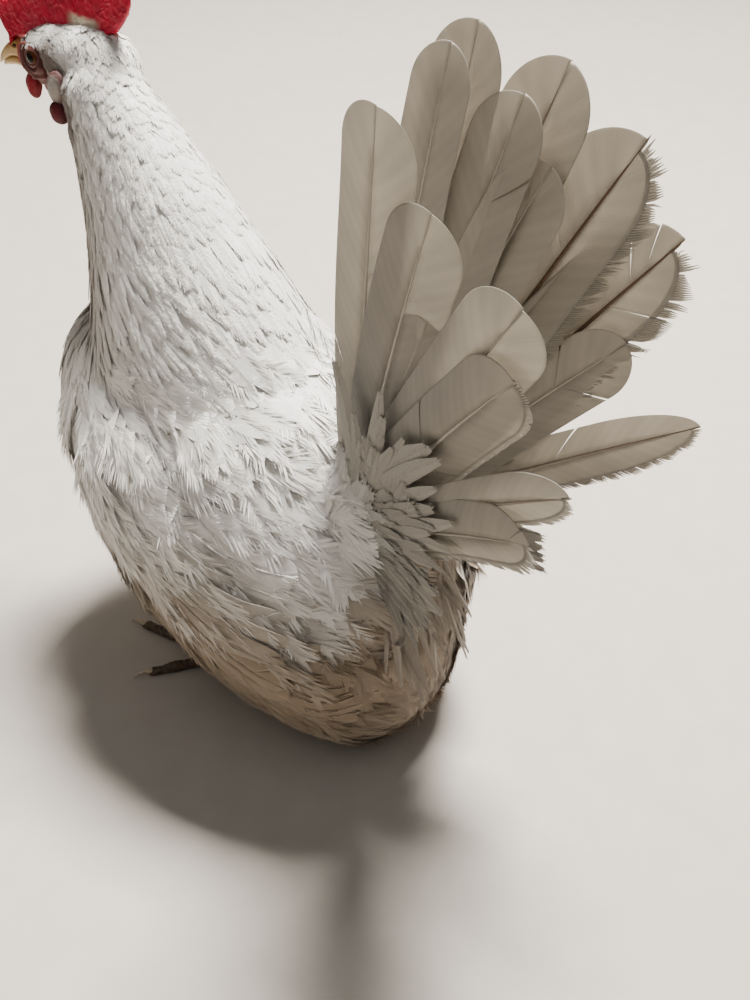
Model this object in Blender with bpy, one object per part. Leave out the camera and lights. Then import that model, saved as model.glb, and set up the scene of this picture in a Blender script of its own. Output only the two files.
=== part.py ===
"""A white Japanese-type bantam, life size, standing with its tail upright. Metres, +Z up.

The bird faces -X and its left side is at -Y. Its soles stand on z = 0. Feathers that lie on the
body are height fields over the side view: a point (x, z) of the view gets its y from a surface.
"""

import math
import random

import bmesh
import bpy
from mathutils import Matrix, Vector

MM = 0.001
GAP = 0.3 * MM
SIDES = (("left", -1.0), ("right", 1.0))

# The torso: (x, lowest z, highest z, half width), from the breast to the abdomen.
TORSO_ROWS = (
    (-94, 127, 131, 0.8),
    (-90, 104, 150, 20),
    (-80, 82, 160, 33),
    (-63, 58, 167, 44),
    (-40, 36, 171, 53),
    (-14, 21, 174, 59),
    (14, 12, 174, 61.5),
    (40, 8, 166, 60),
    (64, 7, 144, 54.5),
    (84, 9, 120, 45),
    (99, 15, 95, 31),
    (108, 26, 70, 15),
    (111, 44, 52, 0.8),
)
TORSO_SIDES = 22
BELLY_FULLNESS = 0.7

# The neck: (x, y, z of the centre, half length front to back, half width, backward lean in degrees).
NECK_ROWS = (
    (-16, 0, 134, 44, 36, 8),
    (-22, 1, 157, 54, 41, 14),
    (-35, 3, 181, 44, 33, 21),
    (-50, 6.5, 207, 33.5, 25, 26),
    (-67, 9.5, 230, 24, 18, 28),
    (-84, 11.5, 249, 18, 13.5, 28),
)
NECK_SIDES = 20

# The head's own frame has its origin between the eyes and runs forward, left and up.
HEAD_AT = Vector((-106, 12, 248)) * MM
HEAD_YAW = math.radians(5)
HEAD_PITCH = math.radians(2)
HEAD_ROLL = math.radians(7)
# The skull: (forward, centre height, half width, half height).
SKULL_ROWS = (
    (17.0, 0.5, 0.8, 0.8),
    (15.5, 0.5, 4.6, 5.6),
    (11.0, 0.5, 7.4, 8.8),
    (4.0, 0.6, 9.6, 11.2),
    (-5.0, 0.4, 11.2, 12.8),
    (-13.0, -0.6, 11.4, 12.6),
    (-20.0, -2.4, 9.6, 10.6),
    (-25.0, -4.0, 5.6, 6.6),
    (-27.0, -4.6, 0.8, 0.8),
)
SKULL_SIDES = 18
EYE_AT = Vector((1.5, 6.6, 1.6)) * MM
EYE_RADIUS = 4.4 * MM
LID_RADIUS = 4.3 * MM
LID_THICKNESS = 0.85 * MM

# The beak: (forward, centre height, half width, half height).
UPPER_BEAK_ROWS = (
    (11.0, 1.2, 4.6, 3.6),
    (16.0, 0.9, 4.4, 3.6),
    (21.0, 0.0, 3.6, 3.2),
    (26.0, -2.2, 2.5, 2.7),
    (30.0, -5.0, 1.3, 1.7),
    (32.0, -7.4, 0.35, 0.4),
)
LOWER_BEAK_ROWS = (
    (10.0, -5.2, 4.0, 2.0),
    (15.0, -5.0, 3.7, 1.9),
    (20.0, -5.3, 2.9, 1.6),
    (25.0, -6.6, 1.8, 1.2),
    (28.0, -8.0, 0.4, 0.35),
)
BEAK_SIDES = 12

# The comb in the head's middle plane: (foot forward, foot up, crest forward, crest up).
COMB_COLUMNS = (
    (27.0, 3.0, 31, 9),
    (25.0, 3.0, 31, 19),
    (22.0, 4.0, 26, 24),
    (19.0, 5.0, 21, 19),
    (16.0, 6.0, 17, 35),
    (11.0, 7.0, 9, 24),
    (5.0, 8.0, 1, 41),
    (0.0, 8.5, -5, 27),
    (-5.0, 9.0, -14, 43),
    (-11.0, 9.5, -20, 28),
    (-16.0, 10.0, -31, 41),
    (-21.0, 11.5, -33, 29),
    (-27.0, 13.0, -42, 35),
    (-32.0, 14.6, -45, 28),
    (-36.0, 15.6, -41, 20),
)
COMB_THICKNESS = (4.6, 3.8, 1.6)
COMB_MIDDLE = 0.6

# The tail's root lies in the rump. Every feather: (tip x, tip z, width), from the top pair down.
TAIL_ROOT = (64, 112)
TAIL_FEATHERS = (
    (79, 298, 28),
    (91, 304, 28),
    (105, 291, 27),
    (119, 295, 30),
    (140, 277, 32),
    (155, 244, 31),
    (170, 193, 26),
)
TAIL_COVERT_ROOT = (67, 120)
TAIL_COVERTS = (
    (66, 210, 20),
    (84, 236, 22),
    (109, 262, 24),
    (114, 216, 22),
    (130, 198, 21),
    (135, 170, 20),
    (122, 146, 18),
)
CUSHION_ROOT = (70, 127)
CUSHION_FEATHERS = (
    (66, 176, 19),
    (80, 184, 19),
    (95, 180, 19),
    (107, 166, 18),
    (110, 148, 17),
)
TIP_JITTER = 1.6 * MM
# How far each half of the tail is turned back at its top, so that the two halves differ.
TAIL_TURN = {"left": 11.0, "right": -3.0}
TAIL_TOP_LEAN = 5.0
TAIL_LOW_LEAN = 17.0
TAIL_INNER_Y = 2.6 * MM
VANE_STEP = 1.05 * MM
RUMP_AT = Vector((71, 0, 128)) * MM
RUMP_RADII = (25 * MM, 31 * MM, 33 * MM)

# A vane's rows: (share of its length, share of its width, thickness).
TAIL_VANE_ROWS = (
    (0.0, 0.14, 0.9 * MM),
    (0.3, 0.52, 0.62 * MM),
    (0.7, 1.0, 0.55 * MM),
    (0.93, 0.86, 0.5 * MM),
    (1.0, 0.42, 0.4 * MM),
)
WING_VANE_ROWS = (
    (0.0, 0.4, 0.6 * MM),
    (0.45, 0.8, 0.5 * MM),
    (0.88, 1.0, 0.5 * MM),
    (1.0, 0.5, 0.4 * MM),
)
# A tail feather's middle line is thicker by this factor.
RIB = 1.3

# The folded wing lies on the torso's side, this far off it.
WING_LIFT = 1.2 * MM
WING_CORE_AT = (-12, 119)
WING_CORE_RADII = (43, 26)
WING_CORE_TURN = math.radians(-16)
WING_CORE_DEPTH = 6.0 * MM
WING_CORE_ROOT = 9.0 * MM
# Its tiers, each from the lowest to the highest feather:
# (count, roots' ends, tips' ends, width, height at the root, height at the tip, tilt).
WING_TIERS = (
    (5, (0, 98), (8, 108), (84, 46), (98, 78), 13.0, 1.8, 3.6, 0.7),
    (6, (-10, 101), (-2, 137), (79, 70), (60, 126), 17.0, 3.2, 5.6, 0.7),
    (5, (-26, 103), (-20, 137), (24, 84), (34, 129), 15.0, 3.6, 7.2, 0.6),
    (4, (-44, 107), (-38, 135), (-8, 96), (0, 128), 15.0, 3.9, 8.6, 0.6),
)

# The legs: hock end, ankle and toes. Toes: (name, turn from the bird's front, length, radius).
THIGH_AT = (1, 27, 40)
THIGH_RADII = (25, 19, 26)
ANKLE = (-3, 24)
SHANK_RADIUS = 4.0 * MM
FOOT_YAW = math.radians(14)
TOES = (
    ("inner", 40, 31, 2.7),
    ("middle", 0, 42, 3.0),
    ("outer", -42, 34, 2.7),
    ("hind", 168, 15, 2.4),
)
CLAW_LENGTH = 8.0 * MM
TOE_SIDES = 8


def clear_scene():
    for thing in list(bpy.data.objects):
        bpy.data.objects.remove(thing, do_unlink=True)


def material(name, colour, roughness):
    made = bpy.data.materials.new(name)
    made.use_nodes = True
    shader = made.node_tree.nodes["Principled BSDF"]
    shader.inputs["Base Color"].default_value = (*colour, 1.0)
    shader.inputs["Roughness"].default_value = roughness
    shader.inputs["Metallic"].default_value = 0.0
    return made


def mesh_object(name, points, faces):
    """A closed mesh object with its faces turned outward."""
    mesh = bpy.data.meshes.new(name)
    mesh.from_pydata([tuple(point) for point in points], [], faces)
    shape = bmesh.new()
    shape.from_mesh(mesh)
    bmesh.ops.recalc_face_normals(shape, faces=shape.faces)
    if shape.calc_volume(signed=True) < 0:
        bmesh.ops.reverse_faces(shape, faces=shape.faces)
    shape.to_mesh(mesh)
    shape.free()
    made = bpy.data.objects.new(name, mesh)
    bpy.context.scene.collection.objects.link(made)
    return made


def loft(name, rings):
    """A closed skin of triangles over rings of equally many points, with a fan at each end."""
    sides = len(rings[0])
    points = [point for ring in rings for point in ring]
    faces = []
    for row in range(len(rings) - 1):
        for i in range(sides):
            a = row * sides + i
            b = row * sides + (i + 1) % sides
            faces.append((a, b, b + sides))
            faces.append((a, b + sides, a + sides))
    for ring, first in ((rings[0], 0), (rings[-1], (len(rings) - 1) * sides)):
        middle = sum((Vector(point) for point in ring), Vector()) / sides
        points.append(middle)
        for i in range(sides):
            faces.append((len(points) - 1, first + i, first + (i + 1) % sides))
    return mesh_object(name, points, faces)


def ellipse(centre, side, up, count):
    """Points round an ellipse; side and up are its half axes."""
    turns = [2 * math.pi * i / count for i in range(count)]
    return [centre + side * math.cos(turn) + up * math.sin(turn) for turn in turns]


def ball(name, centre, radii, grow=0.0, rows=9, sides=16):
    """An ellipsoid of latitude rings about the Z axis."""
    rings = []
    for row in range(rows + 1):
        tilt = math.pi * min(max(row / rows, 0.04), 0.96)
        wide = math.sin(tilt)
        side = Vector(((radii[0] + grow) * wide, 0, 0))
        up = Vector((0, (radii[1] + grow) * wide, 0))
        rings.append(ellipse(centre + Vector((0, 0, (radii[2] + grow) * math.cos(tilt))), side, up, sides))
    return loft(name, rings)


def evaluated_mesh(thing):
    graph = bpy.context.evaluated_depsgraph_get()
    return bpy.data.meshes.new_from_object(thing.evaluated_get(graph))


def apply_modifiers(thing):
    bpy.context.view_layer.update()
    mesh = evaluated_mesh(thing)
    thing.modifiers.clear()
    thing.data = mesh


def surfaces_of(shape):
    """The closed surfaces of a bmesh, each as a list of its faces."""
    left = set(shape.faces)
    found = []
    while left:
        stack = [left.pop()]
        surface = list(stack)
        while stack:
            for edge in stack.pop().edges:
                for face in edge.link_faces:
                    if face in left:
                        left.remove(face)
                        surface.append(face)
                        stack.append(face)
        found.append(surface)
    return found


def keep_largest(thing):
    shape = bmesh.new()
    shape.from_mesh(thing.data)
    found = surfaces_of(shape)
    found.sort(key=lambda surface: sum(face.calc_area() for face in surface))
    spare = [face for surface in found[:-1] for face in surface]
    bmesh.ops.delete(shape, geom=spare, context="FACES")
    bmesh.ops.triangulate(shape, faces=shape.faces)
    shape.to_mesh(thing.data)
    shape.free()


def fuse(name, pieces):
    """One union of closed pieces."""
    whole = pieces[0]
    others = bpy.data.collections.new(name + "_pieces")
    bpy.context.scene.collection.children.link(others)
    for piece in pieces[1:]:
        bpy.context.scene.collection.objects.unlink(piece)
        others.objects.link(piece)
    union = whole.modifiers.new("union", "BOOLEAN")
    union.operation = "UNION"
    union.operand_type = "COLLECTION"
    union.collection = others
    apply_modifiers(whole)
    for piece in list(others.objects):
        bpy.data.objects.remove(piece, do_unlink=True)
    bpy.data.collections.remove(others)
    keep_largest(whole)
    whole.name = name
    return whole


def cut(thing, *cutters):
    """Takes the cutters out of the thing and removes them."""
    for cutter in cutters:
        difference = thing.modifiers.new("cut", "BOOLEAN")
        difference.operation = "DIFFERENCE"
        difference.object = cutter
        apply_modifiers(thing)
        bpy.data.objects.remove(cutter, do_unlink=True)
    keep_largest(thing)
    return thing


def finish(thing, name, look, smooth=40):
    thing.name = name
    thing.data.name = name
    thing.data.materials.clear()
    thing.data.materials.append(look)
    thing.data.shade_smooth()
    thing.data.set_sharp_from_angle(angle=math.radians(smooth))
    return thing


def torso_loft(grow=0.0):
    rings = []
    for x, low, high, width in TORSO_ROWS:
        centre = Vector((x, 0, (low + high) / 2)) * MM
        half_width = width * MM + grow
        half_height = (high - low) / 2 * MM + grow
        ring = []
        for i in range(TORSO_SIDES):
            turn = 2 * math.pi * i / TORSO_SIDES
            across = math.cos(turn)
            tall = math.sin(turn)
            if tall < 0:
                across = math.copysign(abs(across) ** BELLY_FULLNESS, across)
                tall = -abs(tall) ** BELLY_FULLNESS
            ring.append(centre + Vector((0, half_width * across, half_height * tall)))
        rings.append(ring)
    return loft("torso", rings)


def neck_loft(grow=0.0):
    rings = []
    for x, y, z, length, width, lean in NECK_ROWS:
        turn = math.radians(lean)
        back = Vector((math.cos(turn), 0, math.sin(turn)))
        rings.append(ellipse(
            Vector((x, y, z)) * MM,
            back * (length * MM + grow),
            Vector((0, width * MM + grow, 0)),
            NECK_SIDES,
        ))
    return loft("neck", rings)


def head_matrix():
    """Turns forward, left and up lengths in the head into world places."""
    axes = Matrix(((-1, 0, 0), (0, -1, 0), (0, 0, 1)))
    turn = Matrix.Rotation(HEAD_YAW, 3, "Z")
    nod = Matrix.Rotation(HEAD_PITCH, 3, "Y")
    roll = Matrix.Rotation(HEAD_ROLL, 3, "X")
    return Matrix.Translation(HEAD_AT) @ (axes @ turn @ nod @ roll).to_4x4()


HEAD_FRAME = head_matrix()


def in_head(thing):
    thing.data.transform(HEAD_FRAME)
    return thing


def head_loft(name, rows, sides, grow=0.0):
    rings = []
    for forward, height, width, tall in rows:
        centre = Vector((forward, 0, height)) * MM
        side = Vector((0, width * MM + grow, 0))
        up = Vector((0, 0, tall * MM + grow))
        rings.append(ellipse(centre, side, up, sides))
    return in_head(loft(name, rings))


def head_ball(name, centre, radii, grow=0.0, rows=7, sides=12):
    return in_head(ball(name, centre, radii, grow, rows, sides))


def lid_ring(side):
    """The two lids as one raised ring round the eye, pinched at its corners."""
    rings = []
    count = 16
    eye = Vector((EYE_AT.x, EYE_AT.y * side, EYE_AT.z))
    for i in range(count):
        turn = 2 * math.pi * i / count
        out = Vector((math.cos(turn) * 1.12, 0, math.sin(turn) * 0.92))
        place = eye + out * LID_RADIUS + Vector((0, 3.4 * MM * side, 0))
        radial = out.normalized() * LID_THICKNESS
        rings.append(ellipse(place, radial, Vector((0, LID_THICKNESS * 1.5, 0)), 6))
    points = [point for ring in rings for point in ring]
    faces = []
    for row in range(count):
        for i in range(6):
            a = row * 6 + i
            b = row * 6 + (i + 1) % 6
            c = (row + 1) % count * 6 + (i + 1) % 6
            d = (row + 1) % count * 6 + i
            faces.append((a, b, c))
            faces.append((a, c, d))
    return in_head(mesh_object("lids", points, faces))


def eye_ball(side, grow=0.0):
    centre = Vector((EYE_AT.x, EYE_AT.y * side, EYE_AT.z))
    return head_ball("eye", centre, [EYE_RADIUS] * 3, grow, 9, 14)


def mouth_corner(side):
    """The thin line of the mouth running back into the face."""
    return head_ball("mouth", Vector((11, 7.4 * side, -3.4)) * MM, (7 * MM, 3.2 * MM, 0.5 * MM), 0, 5, 12)


def make_head(look):
    pieces = [head_loft("head", SKULL_ROWS, SKULL_SIDES)]
    for _, side in SIDES:
        pieces.append(lid_ring(-side))
    head = fuse("head", pieces)
    cutters = [eye_ball(-side, GAP) for _, side in SIDES]
    cutters += [mouth_corner(-side) for _, side in SIDES]
    cutters.append(head_loft("upper", UPPER_BEAK_ROWS, BEAK_SIDES, GAP))
    cutters.append(head_loft("lower", LOWER_BEAK_ROWS, BEAK_SIDES, GAP))
    return finish(cut(head, *cutters), "head", look)


def make_beak(look):
    upper = head_loft("beak_upper", UPPER_BEAK_ROWS, BEAK_SIDES)
    nostrils = [
        head_ball("nostril", Vector((18.5, 3.9 * side, 2.2)) * MM, (1.6 * MM, 1.0 * MM, 0.6 * MM), 0, 5, 8)
        for _, side in SIDES
    ]
    finish(cut(upper, *nostrils), "beak_upper", look)
    lower = head_loft("beak_lower", LOWER_BEAK_ROWS, BEAK_SIDES)
    lower = cut(lower, head_loft("upper", UPPER_BEAK_ROWS, BEAK_SIDES, GAP))
    finish(lower, "beak_lower", look)


def make_eyes(look):
    for name, side in SIDES:
        finish(eye_ball(-side), "eye_" + name, look)


def comb_blade():
    """A blade in columns from its foot to its crest, thick at the foot and thin at the points."""
    rows = len(COMB_THICKNESS)
    count = len(COMB_COLUMNS)
    points = []
    for side in (-1, 1):
        for foot_f, foot_u, crest_f, crest_u in COMB_COLUMNS:
            for share, thick in zip((0.0, COMB_MIDDLE, 1.0), COMB_THICKNESS):
                forward = foot_f + (crest_f - foot_f) * share
                height = foot_u + (crest_u - foot_u) * share
                points.append(Vector((forward, side * thick / 2, height)) * MM)
    half = rows * count
    faces = []
    for start in (0, half):
        for column in range(count - 1):
            for row in range(rows - 1):
                a = start + column * rows + row
                faces.append((a, a + 1, a + rows + 1))
                faces.append((a, a + rows + 1, a + rows))
    rim = [column * rows for column in range(count)]
    rim += [(count - 1) * rows + row for row in range(1, rows)]
    rim += [column * rows + rows - 1 for column in range(count - 2, -1, -1)]
    rim += [row for row in range(rows - 2, 0, -1)]
    for i, a in enumerate(rim):
        b = rim[(i + 1) % len(rim)]
        faces.append((a, b, b + half))
        faces.append((a, b + half, a + half))
    return in_head(mesh_object("comb", points, faces))


def make_comb(look):
    comb = comb_blade()
    comb = cut(
        comb,
        head_loft("skull", SKULL_ROWS, SKULL_SIDES, GAP),
        head_loft("upper", UPPER_BEAK_ROWS, BEAK_SIDES, GAP),
        neck_loft(GAP),
    )
    finish(comb, "comb", look)


def earlobe_balls(side, grow=0.0):
    lobe = head_ball("lobe", Vector((-11, 10.0 * side, -9)) * MM, (4.6 * MM, 3.0 * MM, 5.8 * MM), grow)
    bulb = head_ball("bulb", Vector((-10, 10.6 * side, -17)) * MM, (4.3 * MM, 3.0 * MM, 4.6 * MM), grow)
    return lobe, bulb


def make_face_flesh(white, red):
    for name, side in SIDES:
        lobe, bulb = earlobe_balls(-side)
        blocks = [
            head_loft("skull", SKULL_ROWS, SKULL_SIDES, GAP),
            neck_loft(GAP),
        ]
        finish(cut(lobe, *blocks), "earlobe_" + name, white)
        grown_lobe, spare = earlobe_balls(-side, GAP)
        bpy.data.objects.remove(spare, do_unlink=True)
        blocks = [
            head_loft("skull", SKULL_ROWS, SKULL_SIDES, GAP),
            neck_loft(GAP),
            grown_lobe,
        ]
        finish(cut(bulb, *blocks), "lobe_bulb_" + name, red)
        wattle = head_ball(
            "wattle", Vector((7.5, 4.2 * -side, -14.5)) * MM, (4.4 * MM, 1.9 * MM, 6.4 * MM)
        )
        blocks = [
            head_loft("skull", SKULL_ROWS, SKULL_SIDES, GAP),
            head_loft("lower", LOWER_BEAK_ROWS, BEAK_SIDES, GAP),
        ]
        finish(cut(wattle, *blocks), "wattle_" + name, red)


def torso_row(x):
    """(lowest z, highest z, half width) of the torso at x, all in mm."""
    for front, back in zip(TORSO_ROWS, TORSO_ROWS[1:]):
        if x <= back[0]:
            break
    share = min(max((x - front[0]) / (back[0] - front[0]), 0), 1)
    return [a + (b - a) * share for a, b in zip(front[1:], back[1:])]


def wing_surface(x, z):
    """Half breadth of the torso over the side view, where folded wing feathers lie, in metres."""
    low, high, width = torso_row(x / MM)
    tall = (z / MM - (low + high) / 2) / ((high - low) / 2)
    tall = min(max(tall, -0.93), 0.93)
    if tall >= 0:
        across = math.sqrt(1 - tall * tall)
    else:
        across = math.sqrt(1 - abs(tall) ** (2 / BELLY_FULLNESS)) ** BELLY_FULLNESS
    return width * MM * across + WING_LIFT


def tail_surface(x, z):
    """Half breadth of the tail tent over the side view, in metres."""
    along = Vector((x - TAIL_ROOT[0] * MM, z - TAIL_ROOT[1] * MM))
    rise = math.degrees(math.atan2(along.y, along.x))
    share = min(max((95 - rise) / 70, 0), 1)
    lean = TAIL_TOP_LEAN + (TAIL_LOW_LEAN - TAIL_TOP_LEAN) * share
    return TAIL_INNER_Y + along.length * math.tan(math.radians(lean))


def vane(name, surface, side, root, tip, width, rows, heights, tilt, ribbed):
    """A tapered feather over the side view, held off its surface by heights at root and tip.

    Its upper edge lies tilt nearer to the surface than its middle, and its lower edge as much
    farther. Both faces are split into triangles alike.
    """
    along = tip - root
    across = Vector((-along.y, along.x)).normalized()
    places = (-1.0, 0.0, 1.0) if ribbed else (-1.0, 1.0)
    columns = len(places)
    points = []
    for share, wide, thick in rows:
        middle = root + along * share
        height = heights[0] + (heights[1] - heights[0]) * share
        for face in (-0.5, 0.5):
            for place in places:
                spot = middle + across * (width / 2 * wide * place)
                half = face * thick * (1.0 if place else RIB)
                y = surface(spot.x, spot.y) + height - tilt * place + half
                points.append((spot.x, side * y, spot.y))
    faces = []
    for row in range(len(rows) - 1):
        start = row * 2 * columns
        for face in (0, columns):
            for i in range(columns - 1):
                a = start + face + i
                b = a + 2 * columns
                faces.append((a, a + 1, b + 1))
                faces.append((a, b + 1, b))
        for edge in (0, columns - 1):
            a = start + edge
            b = a + columns
            faces.append((a, b, b + 2 * columns))
            faces.append((a, b + 2 * columns, a + 2 * columns))
    for start in (0, (len(rows) - 1) * 2 * columns):
        for i in range(columns - 1):
            a = start + i
            b = a + columns
            faces.append((a, a + 1, b + 1))
            faces.append((a, b + 1, b))
    return mesh_object(name, points, faces)


def rump(side, grow=0.0):
    """Half of the rump: the ball that the tail feathers grow from, cut at the middle."""
    whole = ball("rump", RUMP_AT, RUMP_RADII, grow, 10, 20)
    half = mesh_box("half", (0.0, side * (0.05 + GAP / 2 - grow), 0.12), (0.2, 0.1, 0.3))
    keep = whole.modifiers.new("half", "BOOLEAN")
    keep.operation = "INTERSECT"
    keep.object = half
    apply_modifiers(whole)
    bpy.data.objects.remove(half, do_unlink=True)
    return whole


def mesh_box(name, centre, size):
    shape = bmesh.new()
    bmesh.ops.create_cube(shape, size=1.0)
    bmesh.ops.scale(shape, vec=size, verts=shape.verts)
    bmesh.ops.translate(shape, vec=centre, verts=shape.verts)
    mesh = bpy.data.meshes.new(name)
    shape.to_mesh(mesh)
    shape.free()
    made = bpy.data.objects.new(name, mesh)
    bpy.context.scene.collection.objects.link(made)
    return made


def tail_tier(side, turn, root, feathers, lowest_height, ribbed, draw):
    """Feathers from one root: the highest lies outermost, so that each overlaps the next below."""
    made = []
    for i, (x, z, width) in enumerate(feathers):
        back = turn * (1 - i / (len(feathers) - 1))
        tip = Vector(((x + back) * MM + draw(), z * MM + draw()))
        height = lowest_height + (len(feathers) - 1 - i) * VANE_STEP
        made.append(vane(
            "vane", tail_surface, side, Vector(root) * MM, tip, width * MM,
            TAIL_VANE_ROWS, (height, height), 0.0, ribbed,
        ))
    return made


def make_tail(look):
    chance = random.Random(11)
    for name, side in SIDES:
        pieces = [rump(side)]
        height = 0.0
        tiers = (
            (TAIL_ROOT, TAIL_FEATHERS),
            (TAIL_COVERT_ROOT, TAIL_COVERTS),
            (CUSHION_ROOT, CUSHION_FEATHERS),
        )
        for root, feathers in tiers:
            pieces += tail_tier(
                side, TAIL_TURN[name], root, feathers, height, feathers == TAIL_FEATHERS,
                lambda: chance.uniform(-TIP_JITTER, TIP_JITTER),
            )
            height += len(feathers) * VANE_STEP
        finish(fuse("tail_" + name, pieces), "tail_" + name, look)


def wing_core(side):
    """The wing's fleshy fore part as a lens that lies on the torso."""
    count = 18
    rows = (1.0, 0.85, 0.6, 0.3)
    turned = Matrix.Rotation(WING_CORE_TURN, 2)
    points = []
    for inner in (True, False):
        for share in rows:
            for i in range(count):
                turn = 2 * math.pi * i / count
                flat = Vector((
                    WING_CORE_RADII[0] * math.cos(turn) * share,
                    WING_CORE_RADII[1] * math.sin(turn) * share,
                ))
                x, z = (Vector(WING_CORE_AT) + turned @ flat) * MM
                y = wing_surface(x, z) - WING_CORE_ROOT
                if not inner:
                    y += WING_CORE_ROOT + WING_CORE_DEPTH * math.sqrt(1.02 - share * share)
                points.append((x, side * y, z))
        x, z = Vector(WING_CORE_AT) * MM
        y = wing_surface(x, z) + (-WING_CORE_ROOT if inner else WING_CORE_DEPTH)
        points.append((x, side * y, z))
    face_points = len(rows) * count + 1
    faces = []
    for half in (0, face_points):
        for row in range(len(rows) - 1):
            for i in range(count):
                a = half + row * count + i
                b = half + row * count + (i + 1) % count
                faces.append((a, b, b + count))
                faces.append((a, b + count, a + count))
        last = half + (len(rows) - 1) * count
        for i in range(count):
            faces.append((last + i, last + (i + 1) % count, half + face_points - 1))
    for i in range(count):
        b = (i + 1) % count
        faces.append((i, b, b + face_points))
        faces.append((i, b + face_points, i + face_points))
    return mesh_object("core", points, faces)


def wing_tier(side, tier):
    count, low_root, high_root, low_tip, high_tip, width, root_height, tip_height, tilt = tier
    made = []
    for i in range(count):
        share = i / (count - 1)
        root = Vector(low_root).lerp(Vector(high_root), share) * MM
        tip = Vector(low_tip).lerp(Vector(high_tip), share) * MM
        made.append(vane(
            "vane", wing_surface, side, root, tip, width * MM, WING_VANE_ROWS,
            (root_height * MM, tip_height * MM), tilt * MM, False,
        ))
    return made


def make_wings(look):
    for name, side in SIDES:
        pieces = [wing_core(side)]
        for tier in WING_TIERS:
            pieces += wing_tier(side, tier)
        wing = fuse("wing_" + name, pieces)
        finish(cut(wing, torso_loft(GAP), neck_loft(GAP)), "wing_" + name, look)


def thigh_ball(side, grow=0.0):
    centre = Vector((THIGH_AT[0], THIGH_AT[1] * side, THIGH_AT[2])) * MM
    return ball("thigh", centre, [radius * MM for radius in THIGH_RADII], grow, 8, 14)


def foot_pad(side, grow=0.0):
    """The low dome under the shank, flat below."""
    rings = []
    for share, height in ((0.92, 0.0), (1.0, 1.6), (0.95, 4.5), (0.72, 7.0), (0.45, 8.4)):
        centre = Vector((ANKLE[0], ANKLE[1] * side, height)) * MM
        centre.z += grow if height else -grow
        radius = 6.2 * MM * share + grow
        rings.append(ellipse(centre, Vector((radius, 0, 0)), Vector((0, radius, 0)), 12))
    return loft("pad", rings)


def shank_tube(side):
    rings = []
    for x, y, z in ((4, 25.5, 30), (1, 25, 20), (-1.5, 24.4, 12), (-3, 24, 4)):
        centre = Vector((x, y * side, z)) * MM
        rings.append(ellipse(centre, Vector((SHANK_RADIUS * 1.1, 0, 0)), Vector((0, SHANK_RADIUS, 0)), 12))
    return loft("shank", rings)


def toe_direction(turn, side):
    """Level direction of a toe: turn is from the bird's front, towards its middle line."""
    angle = FOOT_YAW - math.radians(turn)
    return Vector((-math.cos(angle), math.sin(angle) * side, 0))


def toe_tube(side, turn, length, radius):
    """A padded toe, round above and flat where it stands."""
    way = toe_direction(turn, side)
    across = Vector((-way.y, way.x, 0))
    start = Vector((ANKLE[0] * MM, ANKLE[1] * MM * side, 0))
    rings = []
    rows = 7
    for row in range(rows + 1):
        share = row / rows
        pads = 1 + 0.09 * math.cos(share * 6 * math.pi)
        size = radius * MM * (1.15 - 0.42 * share) * pads
        if row == rows:
            size *= 0.6
        centre = start + way * (length * MM * share) + Vector((0, 0, size * 0.86))
        ring = ellipse(centre, across * size, Vector((0, 0, size)), TOE_SIDES)
        rings.append([Vector((p.x, p.y, max(p.z, 0.0))) for p in ring])
    return loft("toe", rings)


def claw_cone(side, turn, length, radius):
    """A curved claw from the toe's end down to its tip."""
    way = toe_direction(turn, side)
    across = Vector((-way.y, way.x, 0))
    start = Vector((ANKLE[0] * MM, ANKLE[1] * MM * side, 0)) + way * (length * MM - 2.5 * MM)
    size = radius * MM * 0.52
    rings = []
    for row in range(5):
        share = row / 4
        centre = start + way * (CLAW_LENGTH + 2.5 * MM) * share
        centre.z = (2.3 + 1.1 * math.sin(share * math.pi) - 1.75 * share * share) * MM
        wide = size * (1 - 0.88 * share)
        rings.append(ellipse(centre, across * wide * 0.8, Vector((0, 0, wide)), 6))
    return loft("claw", rings)


def make_legs(feather, scale):
    for name, side in SIDES:
        finish(thigh_ball(side), "thigh_" + name, feather)
        shank = cut(shank_tube(side), thigh_ball(side, GAP), foot_pad(side, GAP))
        finish(shank, "shank_" + name, scale)
        pieces = [foot_pad(side)]
        for _, turn, length, radius in TOES:
            pieces.append(toe_tube(side, turn, length, radius))
            pieces.append(claw_cone(side, turn, length, radius))
        finish(fuse("foot_" + name, pieces), "foot_" + name, scale)


def make_torso(look):
    torso = torso_loft()
    cutters = [thigh_ball(side, GAP) for _, side in SIDES]
    cutters.append(ball("rump", RUMP_AT, RUMP_RADII, GAP, 10, 20))
    finish(cut(torso, *cutters), "torso", look)


def make_neck(look):
    neck = cut(neck_loft(), torso_loft(GAP), head_loft("skull", SKULL_ROWS, SKULL_SIDES, GAP))
    finish(neck, "neck", look)


def centre_bird():
    """Stands the bird on z = 0 with the middle of its box over the origin, by an empty that carries it."""
    bpy.context.view_layer.update()
    nodes = list(bpy.context.scene.collection.objects)
    corners = [node.matrix_world @ vertex.co for node in nodes for vertex in node.data.vertices]
    low = [min(corner[axis] for corner in corners) for axis in range(3)]
    high = [max(corner[axis] for corner in corners) for axis in range(3)]
    bird = bpy.data.objects.new("bird", None)
    bpy.context.scene.collection.objects.link(bird)
    bird.location = (-(low[0] + high[0]) / 2, -(low[1] + high[1]) / 2, -low[2])
    for node in nodes:
        node.parent = bird
    bpy.context.view_layer.update()


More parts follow.
